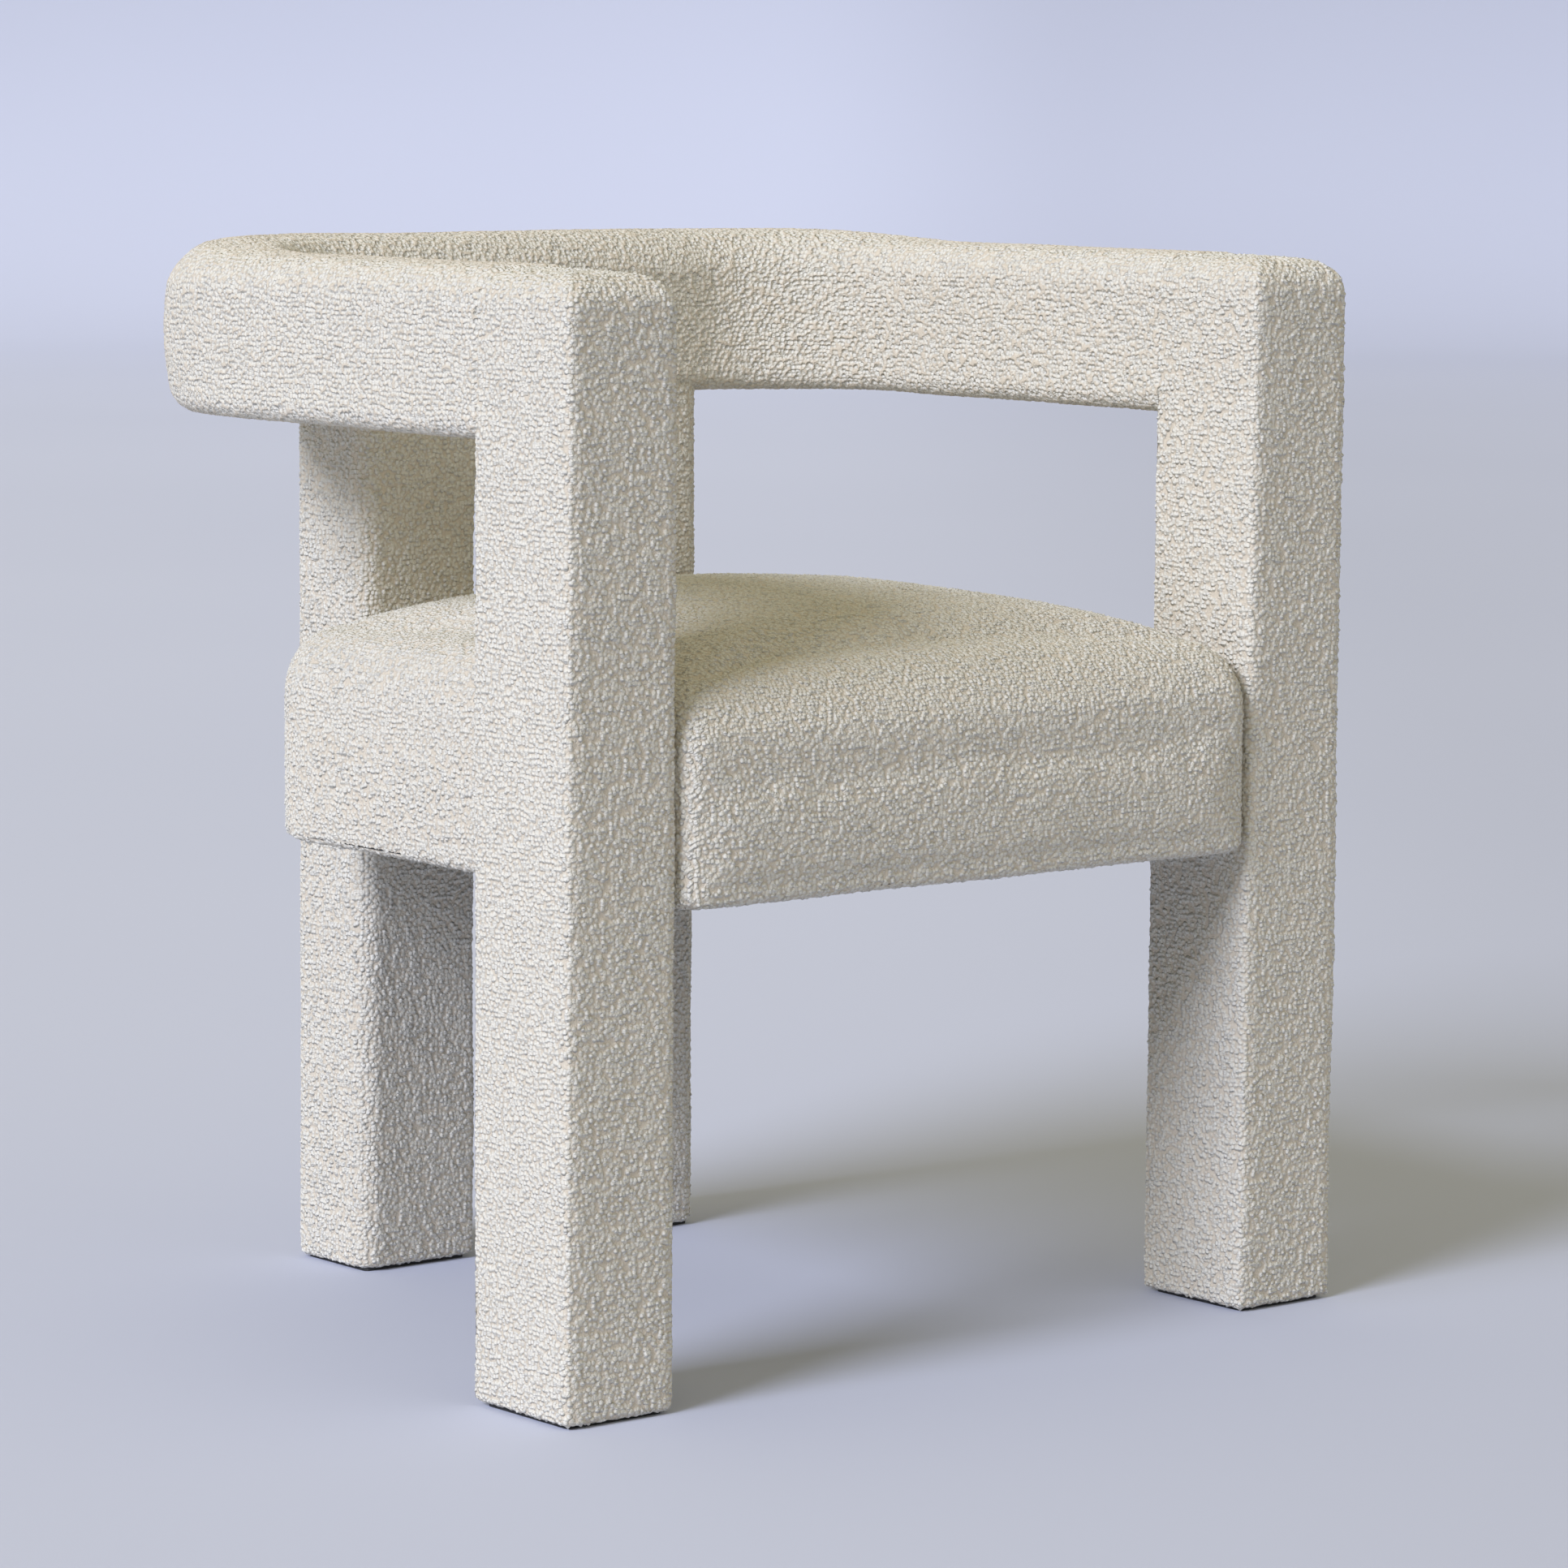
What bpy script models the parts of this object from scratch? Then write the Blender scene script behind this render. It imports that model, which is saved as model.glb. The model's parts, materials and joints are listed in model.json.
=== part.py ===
"""An open-frame armchair, upholstered all over.

The sitter faces -Y. The floor is Z = 0, and the origin is the middle of the footprint.
Timber posts and a U-shaped timber rail stand inside foam padding and sewn fabric covers.
The seat is a timber box frame with elastic webbing, a crowned foam block and its own cover,
and bolts go through it into the posts. Sizes are in metres.
"""

from math import cos, pi, sin

import bmesh
import bpy
from mathutils import Matrix, Vector

# Overall sizes
OVERALL_WIDTH = 0.682
OVERALL_DEPTH = 0.577
OVERALL_HEIGHT = 0.735
SEAT_PROUD = 0.006  # how far the seat's front stands out past the front legs

# The arm and back rail, and the legs
ARM_THICKNESS = 0.089
RAIL_HEIGHT = 0.108
CORNER_RADIUS = 0.187
FRONT_LEG_DEPTH = 0.099
REAR_LEG_WIDTH = 0.100
REAR_LEG_INSET = 0.002  # from the rail's inner and outer faces
RAIL_TOP_ROUND = 0.030
RAIL_UNDER_ROUND = 0.014
BACK_SEAM_LEAD = 0.010  # how far the back's cover runs forward past the curve, to its seam with the arm's
FRONT_LEG_ROUND = 0.006
REAR_LEG_ROUND = 0.010

# The seat
SEAT_BASE_HEIGHT = 0.331
SEAT_SIDE_HEIGHT = 0.124
SEAT_CROWN = 0.052
SEAT_ROUNDNESS = 4  # a higher power gives a flatter middle and a rounder edge
SEAT_FRONT_ROUND = 0.020
SEAT_REAR_ROUND = 0.060

# Layers and clearances
FABRIC = 0.002
PADDING = 0.008
GAP = 0.0003
SEAT_CLEARANCE = 0.001
SKIN = FABRIC + GAP
CORE = FABRIC + GAP + PADDING + GAP

# Timber, webbing and hardware
LAP_LENGTH = 0.040
TENON_RADIUS = 0.014
TENON_LENGTH = 0.032
SEAT_RAIL_THICKNESS = 0.024
SEAT_RAIL_HEIGHT = 0.075
CORNER_BLOCK_LEG = 0.034
CORNER_BLOCK_HEIGHT = 0.050
DUST_CLOTH = 0.001
WEB_WIDTH = 0.050
WEB_THICKNESS = 0.0015
WEBS_LENGTHWAYS = 4
WEBS_ACROSS = 3
WEB_EDGE = 0.004  # how far a strap stops short of the frame's outer face
GLIDE_HEIGHT = 0.004
GLIDE_SETBACK = 0.006
GLIDE_ROUND = 0.004
GLIDE_PIN_RADIUS = 0.002
GLIDE_PIN_LENGTH = 0.015
BOLT_RADIUS = 0.004
BOLT_HEAD_RADIUS = 0.0075
BOLT_HEAD_HEIGHT = 0.004
BOLT_LENGTH = 0.070
BOLT_SOCKET_RADIUS = 0.003
BOLT_SOCKET_DEPTH = 0.0025
BOLT_SPACING = 0.036
BOLT_EDGE = 0.014  # from the front bolts to the back face of the front posts
HOLE_CLEARANCE = 0.0005

# Planes that the pieces line up with
SIDE = OVERALL_WIDTH / 2
INNER = SIDE - ARM_THICKNESS
BACK = OVERALL_DEPTH / 2
FRONT = -OVERALL_DEPTH / 2 + SEAT_PROUD
FRONT_LEG_REAR = FRONT + FRONT_LEG_DEPTH
TOP = OVERALL_HEIGHT
RAIL_BASE = OVERALL_HEIGHT - RAIL_HEIGHT
RAIL_CORE_BASE = RAIL_BASE + CORE
RAIL_CORE_TOP = TOP - CORE
RAIL_CORE_MIDDLE = (RAIL_CORE_BASE + RAIL_CORE_TOP) / 2
CORNER_Y = BACK - CORNER_RADIUS
CORNER_X = SIDE - CORNER_RADIUS
BACK_SEAM_Y = CORNER_Y - BACK_SEAM_LEAD
FOOT = GLIDE_HEIGHT + GAP
# The rear legs stand under the two ends of the rail's straight back.
REAR_LEG_OUTER = CORNER_X
REAR_LEG_INNER = REAR_LEG_OUTER - REAR_LEG_WIDTH
REAR_LEG_BACK = BACK - REAR_LEG_INSET
REAR_LEG_FRONT = BACK - ARM_THICKNESS + REAR_LEG_INSET
SEAT_HALF_WIDTH = INNER - SEAT_CLEARANCE
SEAT_FRONT = FRONT - SEAT_PROUD
SEAT_REAR = REAR_LEG_FRONT - SEAT_CLEARANCE
SEAT_SHOULDER = SEAT_BASE_HEIGHT + SEAT_SIDE_HEIGHT
SEAT_FRAME_BASE = SEAT_BASE_HEIGHT + DUST_CLOTH + 2 * GAP
SEAT_FRAME_TOP = SEAT_FRAME_BASE + SEAT_RAIL_HEIGHT
WEB_ACROSS_BASE = SEAT_FRAME_TOP + GAP
WEB_LENGTHWAYS_BASE = WEB_ACROSS_BASE + WEB_THICKNESS + GAP
SEAT_FOAM_BASE = WEB_LENGTHWAYS_BASE + WEB_THICKNESS + GAP
FRAME_HALF_WIDTH = SEAT_HALF_WIDTH - CORE
FRAME_FRONT = SEAT_FRONT + CORE
FRAME_REAR = SEAT_REAR - CORE
BOLT_HEIGHT = SEAT_FRAME_BASE + SEAT_RAIL_HEIGHT / 2

SIDES = {"left": -1, "right": 1}

ARC_STEPS = 7
SQUARE = 0.002  # the least rounding, on edges that are square to the eye
NOSE_MARGIN = 0.0001
OVERSIZE = 0.005  # how far a cutting or trimming shape runs past what it trims
CROWN_STEPS = 10
ROUND_SIDES = 12
ROUND_STEPS = 3  # flats in a quarter turn of a rounded edge


def clear_scene():
    for old in list(bpy.data.objects):
        bpy.data.objects.remove(old)


def new_collection(name, hidden):
    collection = bpy.data.collections.new(name)
    collection.hide_render = hidden
    bpy.context.scene.collection.children.link(collection)
    return collection


def new_material(name, colour, roughness, metallic=0.0):
    material = bpy.data.materials.new(name)
    material.use_nodes = True
    shader = material.node_tree.nodes["Principled BSDF"]
    shader.inputs["Base Color"].default_value = (*colour, 1.0)
    shader.inputs["Roughness"].default_value = roughness
    shader.inputs["Metallic"].default_value = metallic
    material.diffuse_color = (*colour, 1.0)
    return material


clear_scene()
CHAIR = new_collection("armchair", hidden=False)
CUTTERS = new_collection("cutters", hidden=True)

BOUCLE = new_material("cream_boucle", (0.72, 0.68, 0.60), 0.95)
FOAM = new_material("upholstery_foam", (0.80, 0.72, 0.48), 0.90)
TIMBER = new_material("laminated_birch", (0.62, 0.46, 0.29), 0.55)
WEBBING = new_material("elastic_webbing", (0.07, 0.06, 0.05), 0.80)
DUST_FABRIC = new_material("black_dust_cloth", (0.015, 0.015, 0.016), 0.90)
BLACK_NYLON = new_material("black_nylon", (0.02, 0.02, 0.02), 0.45)
ZINC_STEEL = new_material("zinc_plated_steel", (0.62, 0.62, 0.60), 0.35, 1.0)


# Helpers that make one mesh object


def add_piece(name, mesh, material):
    piece = bpy.data.objects.new(name, mesh)
    if material:
        mesh.materials.clear()
        mesh.materials.append(material)
        CHAIR.objects.link(piece)
    else:
        CUTTERS.objects.link(piece)
        piece.hide_render = True
        piece.display_type = "WIRE"
    return piece


def mesh_of(piece):
    """A plain welded mesh of the object with its modifiers applied; the object is removed."""
    bpy.context.view_layer.update()
    graph = bpy.context.evaluated_depsgraph_get()
    mesh = bpy.data.meshes.new_from_object(piece.evaluated_get(graph))
    mesh.transform(piece.matrix_world)
    shape = bmesh.new()
    shape.from_mesh(mesh)
    bmesh.ops.remove_doubles(shape, verts=shape.verts, dist=0.00002)
    shape.to_mesh(mesh)
    shape.free()
    bpy.data.objects.remove(piece)
    return mesh


def box(name, low, high, material=None):
    """A plain box between two corners."""
    low, high = Vector(low), Vector(high)
    place = Matrix.Translation((low + high) / 2) @ Matrix.Diagonal((*(high - low), 1.0))
    shape = bmesh.new()
    bmesh.ops.create_cube(shape, size=1.0, matrix=place)
    mesh = bpy.data.meshes.new(name)
    shape.to_mesh(mesh)
    shape.free()
    return add_piece(name, mesh, material)


def rod(name, radius, start, axis, length, sides=ROUND_SIDES):
    """A round cutter from a start point along an axis."""
    axis = Vector(axis)
    turn = axis.to_track_quat("Z", "Y").to_matrix().to_4x4()
    place = Matrix.Translation(Vector(start) + axis * (length / 2)) @ turn
    shape = bmesh.new()
    bmesh.ops.create_cone(
        shape, cap_ends=True, segments=sides, radius1=radius, radius2=radius, depth=length, matrix=place
    )
    mesh = bpy.data.meshes.new(name)
    shape.to_mesh(mesh)
    shape.free()
    return add_piece(name, mesh, None)


def slab(name, outlines, base, top, material=None):
    """Flat outlines in plan, filled and raised from one height to another. A second outline is a hole."""
    curve = bpy.data.curves.new(name, "CURVE")
    curve.dimensions = "2D"
    curve.fill_mode = "BOTH"
    curve.extrude = (top - base) / 2
    for outline in outlines:
        spline = curve.splines.new("POLY")
        spline.points.add(len(outline) - 1)
        for point, (x, y) in zip(spline.points, outline):
            point.co = (x, y, 0.0, 1.0)
        spline.use_cyclic_u = True
    drawn = bpy.data.objects.new(name, curve)
    drawn.location.z = (base + top) / 2
    CHAIR.objects.link(drawn)
    return add_piece(name, mesh_of(drawn), material)


def combine(piece, other, operation):
    boolean = piece.modifiers.new(operation.lower() + " " + other.name, "BOOLEAN")
    boolean.operation = operation
    boolean.solver = "EXACT"
    boolean.object = other


def cut(piece, cutter):
    combine(piece, cutter, "DIFFERENCE")


def inset(low, high, amount):
    low = tuple(value + amount for value in low[:2]) + (low[2],)
    return low, tuple(value - amount for value in high)


def arc(centre, radius, start, end, steps=ARC_STEPS):
    turns = [start + (end - start) * step / steps for step in range(steps + 1)]
    return [(centre[0] + radius * cos(turn), centre[1] + radius * sin(turn)) for turn in turns]


def rounded_outline(low, high, radii):
    """A rectangle in a plane with its own radius at each corner, from the lower left, anticlockwise."""
    corners = [(low[0], low[1]), (high[0], low[1]), (high[0], high[1]), (low[0], high[1])]
    inward = [(1, 1), (-1, 1), (-1, -1), (1, -1)]
    outline = []
    for index, (corner, side, radius) in enumerate(zip(corners, inward, radii)):
        centre = (corner[0] + side[0] * radius, corner[1] + side[1] * radius)
        start = pi + index * pi / 2
        outline += arc(centre, radius, start, start + pi / 2, steps=ROUND_STEPS)
    return outline


# The arm and back rail: a rounded section along a U-shaped path


def rail_section(depth_in):
    """The rail's section, depth_in inside its outer surface, about the middle of the rail."""
    half_width = ARM_THICKNESS / 2 - depth_in
    half_height = RAIL_HEIGHT / 2 - depth_in
    under = max(RAIL_UNDER_ROUND - depth_in, 0.003)
    over = max(RAIL_TOP_ROUND - depth_in, 0.003)
    low, high = (-half_width, -half_height), (half_width, half_height)
    return rounded_outline(low, high, [under, under, over, over])


def along_path(name, path, depth_in, material=None):
    """The rail's section carried along a path in plan, as a solid with flat ends."""
    section = bpy.data.curves.new(name + "_section", "CURVE")
    section.dimensions = "2D"
    spline = section.splines.new("POLY")
    outline = rail_section(depth_in)
    spline.points.add(len(outline) - 1)
    for point, (x, y) in zip(spline.points, outline):
        point.co = (x, y, 0.0, 1.0)
    spline.use_cyclic_u = True
    section_guide = bpy.data.objects.new(name + "_section", section)
    CUTTERS.objects.link(section_guide)
    section_guide.hide_render = True

    curve = bpy.data.curves.new(name, "CURVE")
    curve.dimensions = "3D"
    curve.twist_mode = "Z_UP"
    curve.bevel_mode = "OBJECT"
    curve.bevel_object = section_guide
    curve.use_fill_caps = True
    spline = curve.splines.new("POLY")
    spline.points.add(len(path) - 1)
    for point, (x, y) in zip(spline.points, path):
        point.co = (x, y, (RAIL_BASE + TOP) / 2, 1.0)
    drawn = bpy.data.objects.new(name, curve)
    CHAIR.objects.link(drawn)
    mesh = mesh_of(drawn)
    bpy.data.objects.remove(section_guide)
    shape = bmesh.new()
    shape.from_mesh(mesh)
    bmesh.ops.recalc_face_normals(shape, faces=shape.faces)
    shape.to_mesh(mesh)
    shape.free()
    return add_piece(name, mesh, material)


def back_path(overrun=0.0):
    """The middle of the rail from the left arm round the back to the right arm."""
    radius = CORNER_RADIUS - ARM_THICKNESS / 2
    left = arc((-CORNER_X, CORNER_Y), radius, pi, pi / 2)
    right = arc((CORNER_X, CORNER_Y), radius, pi / 2, 0.0)
    end_y = BACK_SEAM_Y - overrun
    return [(left[0][0], end_y), *left, *right, (right[-1][0], end_y)]


def arm_path(side, overrun=0.0):
    middle = side * (SIDE - ARM_THICKNESS / 2)
    return [(middle, FRONT_LEG_REAR + GAP - overrun), (middle, BACK_SEAM_Y - GAP + overrun)]


def hollow_rail(name, path, longer_path, depth_in, wall, material):
    piece = along_path(name, path, depth_in, material)
    cut(piece, along_path(name + "_bore", longer_path, depth_in + wall))
    return piece


# The legs: upright rounded boxes


def front_leg_box(side):
    xs = sorted((side * INNER, side * SIDE))
    return (xs[0], FRONT, FOOT), (xs[1], FRONT_LEG_REAR, TOP)


def rear_leg_box(side):
    xs = sorted((side * REAR_LEG_INNER, side * REAR_LEG_OUTER))
    return (xs[0], REAR_LEG_FRONT, FOOT), (xs[1], REAR_LEG_BACK, RAIL_BASE - GAP)


def layer_round(radius, depth_in):
    """The radius of a rounded edge, depth_in inside the surface that has the given radius."""
    return max(radius - depth_in, SQUARE)


def rounded_top_block(name, low, high, upright_round, top_round, material=None):
    """An upright block whose top is rounded over at the front and the sides, and square at the rear.

    It is a loft of one outline, which draws in as it climbs through the rounding.
    """
    shape = bmesh.new()
    turns = [step * pi / 2 / ROUND_STEPS for step in range(ROUND_STEPS + 1)]
    levels = [(low[2], 0.0)] + [(high[2] - top_round * (1 - sin(turn)), top_round * (1 - cos(turn))) for turn in turns]
    rings = []
    for height, drawn_in in levels:
        radii = [upright_round, upright_round, SQUARE, SQUARE]
        outline = rounded_outline((low[0] + drawn_in, low[1] + drawn_in), (high[0] - drawn_in, high[1]), radii)
        rings.append([shape.verts.new((x, y, height)) for x, y in outline])
    for lower, upper in zip(rings, rings[1:]):
        for index in range(len(lower)):
            after = (index + 1) % len(lower)
            shape.faces.new((lower[index], lower[after], upper[after], upper[index]))
    shape.faces.new(reversed(rings[0]))
    shape.faces.new(rings[-1])
    mesh = bpy.data.meshes.new(name)
    shape.to_mesh(mesh)
    shape.free()
    return add_piece(name, mesh, material)


def plan_outline(bounds, depth_in, upright_round):
    low, high = inset(*bounds, depth_in)
    return rounded_outline(low[:2], high[:2], [upright_round] * 4)


def front_leg_layer(name, bounds, depth_in, wall, material):
    """A sleeve round a front leg, closed over the top and open at the foot."""
    low, high = inset(*bounds, depth_in)
    over = layer_round(RAIL_TOP_ROUND, depth_in)
    # An inner layer is rounder than the bore that it stands in, so that its corners stay clear.
    sleeve = rounded_top_block(name, low, high, FRONT_LEG_ROUND + depth_in, over, material)
    low, high = inset(*bounds, depth_in + wall)
    low = (*low[:2], low[2] - OVERSIZE)
    rounds = layer_round(FRONT_LEG_ROUND, depth_in + wall), layer_round(RAIL_TOP_ROUND, depth_in + wall)
    cut(sleeve, rounded_top_block(name + "_bore", low, high, *rounds))
    return sleeve


def rear_leg_layer(name, bounds, depth_in, wall, material):
    """A sleeve round a rear leg, open at both ends."""
    outer = plan_outline(bounds, depth_in, REAR_LEG_ROUND)
    inner = plan_outline(bounds, depth_in + wall, layer_round(REAR_LEG_ROUND, depth_in + wall))
    return slab(name, [outer, inner], bounds[0][2], bounds[1][2], material)


def post(name, bounds, upright_round):
    """A post with a round tenon that stands up into the rail."""
    low, high = inset(*bounds, CORE)
    outline = plan_outline(bounds, CORE, layer_round(upright_round, CORE))
    piece = slab(name, [outline], FOOT, RAIL_CORE_BASE - GAP, TIMBER)
    middle = ((low[0] + high[0]) / 2, (low[1] + high[1]) / 2, RAIL_CORE_BASE - 0.01)
    tenon = rod(name + "_tenon", TENON_RADIUS, middle, (0, 0, 1), TENON_LENGTH + 0.01)
    combine(piece, tenon, "UNION")
    return piece, middle


def mortise(piece, name, middle):
    socket = rod(
        name, TENON_RADIUS + GAP, (middle[0], middle[1], RAIL_CORE_BASE - 0.01), (0, 0, 1), TENON_LENGTH + 0.011
    )
    cut(piece, socket)


def glide(name, bounds, middle):
    """A nylon plate under a leg, with a pin that is driven up into the post."""
    plate = slab(name, [plan_outline(bounds, GLIDE_SETBACK, GLIDE_ROUND)], 0.0, GLIDE_HEIGHT, BLACK_NYLON)
    pin_start = (middle[0], middle[1], GLIDE_HEIGHT - 0.002)
    pin = rod(name + "_pin", GLIDE_PIN_RADIUS, pin_start, (0, 0, 1), GLIDE_PIN_LENGTH, sides=10)
    combine(plate, pin, "UNION")
    return plate


def glide_hole(piece, name, middle):
    start = (middle[0], middle[1], 0.0)
    cut(piece, rod(name, GLIDE_PIN_RADIUS + GAP, start, (0, 0, 1), GLIDE_HEIGHT + GLIDE_PIN_LENGTH, sides=10))


# The rail's timber: two arms, two corners and the back, with half-lap joints


def lap_cutter(name, low, high, upper):
    """A box that takes away the upper or the lower half of a rail piece over the length of a lap."""
    edge = RAIL_CORE_MIDDLE - GAP / 2 if upper else RAIL_CORE_MIDDLE + GAP / 2
    base, top = (edge, RAIL_CORE_TOP + 0.01) if upper else (RAIL_CORE_BASE - 0.01, edge)
    return box(name, (*low, base), (*high, top))


def arm_core(name, side):
    """An arm, from the front of the leg to the corner, rounded over at its front end."""
    middle = side * (SIDE - ARM_THICKNESS / 2)
    piece = along_path(name, [(middle, FRONT + CORE - OVERSIZE), (middle, CORNER_Y - GAP)], CORE, TIMBER)
    xs = sorted((side * (INNER + CORE), side * (SIDE - CORE)))
    # The nose is a hair wider and taller than the rail, so that it shapes only the front end.
    nose_low = (xs[0] - NOSE_MARGIN, FRONT + CORE, RAIL_CORE_BASE - OVERSIZE)
    nose_high = (xs[1] + NOSE_MARGIN, CORNER_Y + OVERSIZE, RAIL_CORE_TOP + NOSE_MARGIN)
    nose = rounded_top_block(name + "_nose", nose_low, nose_high, SQUARE, layer_round(RAIL_TOP_ROUND, CORE))
    combine(piece, nose, "INTERSECT")
    lap_start = CORNER_Y - LAP_LENGTH - GAP
    cut(piece, lap_cutter(name + "_lap", (xs[0] - 0.01, lap_start), (xs[1] + 0.01, CORNER_Y + 0.01), upper=True))
    return piece


def corner_core(name, side):
    """A quarter ring with a straight tongue at each end, whose lower half is cut away."""
    outer = CORNER_RADIUS - CORE
    inner = CORNER_RADIUS - ARM_THICKNESS + CORE
    radius = CORNER_RADIUS - ARM_THICKNESS / 2
    path = [(CORNER_X + radius, CORNER_Y - LAP_LENGTH)]
    path += arc((CORNER_X, CORNER_Y), radius, 0.0, pi / 2)
    path += [(CORNER_X - LAP_LENGTH, CORNER_Y + radius)]
    piece = along_path(name, [(side * x, y) for x, y in path], CORE, TIMBER)
    arm_xs = sorted((side * (CORNER_X + inner - 0.01), side * (CORNER_X + outer + 0.01)))
    arm_low, arm_high = (arm_xs[0], CORNER_Y - LAP_LENGTH - 0.01), (arm_xs[1], CORNER_Y)
    cut(piece, lap_cutter(name + "_arm_lap", arm_low, arm_high, upper=False))
    back_xs = sorted((side * (CORNER_X - LAP_LENGTH - 0.01), side * CORNER_X))
    back_low, back_high = (back_xs[0], CORNER_Y + inner - 0.01), (back_xs[1], CORNER_Y + outer + 0.01)
    cut(piece, lap_cutter(name + "_back_lap", back_low, back_high, upper=False))
    return piece


def back_core(name):
    reach = CORNER_X - GAP
    middle = BACK - ARM_THICKNESS / 2
    piece = along_path(name, [(-reach, middle), (reach, middle)], CORE, TIMBER)
    for word, side in SIDES.items():
        xs = sorted((side * (CORNER_X - LAP_LENGTH - GAP), side * (CORNER_X + 0.01)))
        ends = (xs[0], BACK - ARM_THICKNESS), (xs[1], BACK)
        cut(piece, lap_cutter(f"{name}_lap_{word}", *ends, upper=True))
    return piece


# The seat


def seat_outline(depth_in):
    front = layer_round(SEAT_FRONT_ROUND, depth_in)
    rear = layer_round(SEAT_REAR_ROUND, depth_in)
    low = (-SEAT_HALF_WIDTH + depth_in, SEAT_FRONT + depth_in)
    high = (SEAT_HALF_WIDTH - depth_in, SEAT_REAR - depth_in)
    return rounded_outline(low, high, [front, front, rear, rear])


def crowned(name, depth_in, base, material=None):
    """The seat's shape, depth_in inside its outer surface: upright sides and a crowned top."""
    half_width = SEAT_HALF_WIDTH
    half_depth = (SEAT_REAR - SEAT_FRONT) / 2
    middle_y = (SEAT_REAR + SEAT_FRONT) / 2
    reach = Matrix.Diagonal((half_width + OVERSIZE, half_depth + OVERSIZE, 1.0, 1.0))
    place = Matrix.Translation((0.0, middle_y, 0.0)) @ reach
    shape = bmesh.new()
    bmesh.ops.create_grid(shape, x_segments=CROWN_STEPS, y_segments=CROWN_STEPS, size=1.0, matrix=place)
    for point in shape.verts:
        across = abs(point.co.x / half_width) ** SEAT_ROUNDNESS
        along = abs((point.co.y - middle_y) / half_depth) ** SEAT_ROUNDNESS
        point.co.z = SEAT_SHOULDER + SEAT_CROWN * (1 - across) * (1 - along) - depth_in
    floor = bmesh.ops.extrude_face_region(shape, geom=list(shape.faces))
    for point in floor["geom"]:
        if isinstance(point, bmesh.types.BMVert):
            point.co.z = base
    bmesh.ops.recalc_face_normals(shape, faces=shape.faces)
    bmesh.ops.triangulate(shape, faces=shape.faces)
    mesh = bpy.data.meshes.new(name)
    shape.to_mesh(mesh)
    shape.free()
    grown = add_piece(name, mesh, material or FOAM)
    prism = slab(name + "_outline", [seat_outline(depth_in)], base - OVERSIZE, TOP)
    combine(grown, prism, "INTERSECT")
    trimmed = mesh_of(grown)
    bpy.data.objects.remove(prism)
    return add_piece(name, trimmed, material)


def seat_rails():
    """Four rails that butt together, trimmed to the seat's rounded outline."""
    trim = slab("seat_frame_outline", [seat_outline(CORE)], SEAT_FRAME_BASE - OVERSIZE, SEAT_FRAME_TOP + OVERSIZE)
    front_inner = FRAME_FRONT + SEAT_RAIL_THICKNESS
    rear_inner = FRAME_REAR - SEAT_RAIL_THICKNESS
    side_inner = FRAME_HALF_WIDTH - SEAT_RAIL_THICKNESS
    wide = FRAME_HALF_WIDTH + OVERSIZE
    plans = {
        "front": ((-wide, FRAME_FRONT - OVERSIZE), (wide, front_inner)),
        "rear": ((-wide, rear_inner), (wide, FRAME_REAR + OVERSIZE)),
        "left": ((-wide, front_inner + GAP), (-side_inner, rear_inner - GAP)),
        "right": ((side_inner, front_inner + GAP), (wide, rear_inner - GAP)),
    }
    rails = {}
    for place, (low, high) in plans.items():
        rail = box("seat_rail_" + place, (*low, SEAT_FRAME_BASE), (*high, SEAT_FRAME_TOP), TIMBER)
        combine(rail, trim, "INTERSECT")
        rails[place] = rail
    return rails


def corner_block(name, side, end):
    """A triangular block glued in a corner of the seat frame; end is -1 at the front and 1 at the rear."""
    corner_x = FRAME_HALF_WIDTH - SEAT_RAIL_THICKNESS - GAP
    rail_face = FRAME_FRONT if end < 0 else FRAME_REAR
    corner_y = rail_face - end * (SEAT_RAIL_THICKNESS + GAP)
    outline = [
        (side * corner_x, corner_y),
        (side * (corner_x - CORNER_BLOCK_LEG), corner_y),
        (side * corner_x, corner_y - end * CORNER_BLOCK_LEG),
    ]
    base = SEAT_FRAME_TOP - CORNER_BLOCK_HEIGHT
    return slab(name, [outline], base, SEAT_FRAME_TOP, TIMBER)


def strap_middles(count, first_edge, last_edge):
    """The middle of each of a row of straps, spread evenly between two edges."""
    room = last_edge - first_edge
    return [first_edge + room * (index + 0.5) / count for index in range(count)]


def webbing():
    """Elastic straps across the frame, and others from front to rear that lie on them."""
    reach = FRAME_HALF_WIDTH - WEB_EDGE
    ends = FRAME_FRONT + WEB_EDGE, FRAME_REAR - WEB_EDGE
    inner = FRAME_HALF_WIDTH - SEAT_REAR_ROUND
    for number, y in enumerate(strap_middles(WEBS_ACROSS, FRAME_FRONT, FRAME_REAR - SEAT_REAR_ROUND / 2), 1):
        low = (-reach, y - WEB_WIDTH / 2, WEB_ACROSS_BASE)
        box(f"webbing_across_{number}", low, (reach, y + WEB_WIDTH / 2, WEB_ACROSS_BASE + WEB_THICKNESS), WEBBING)
    for number, x in enumerate(strap_middles(WEBS_LENGTHWAYS, -inner, inner), 1):
        low = (x - WEB_WIDTH / 2, ends[0], WEB_LENGTHWAYS_BASE)
        high = (x + WEB_WIDTH / 2, ends[1], WEB_LENGTHWAYS_BASE + WEB_THICKNESS)
        box(f"webbing_lengthways_{number}", low, high, WEBBING)


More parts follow.
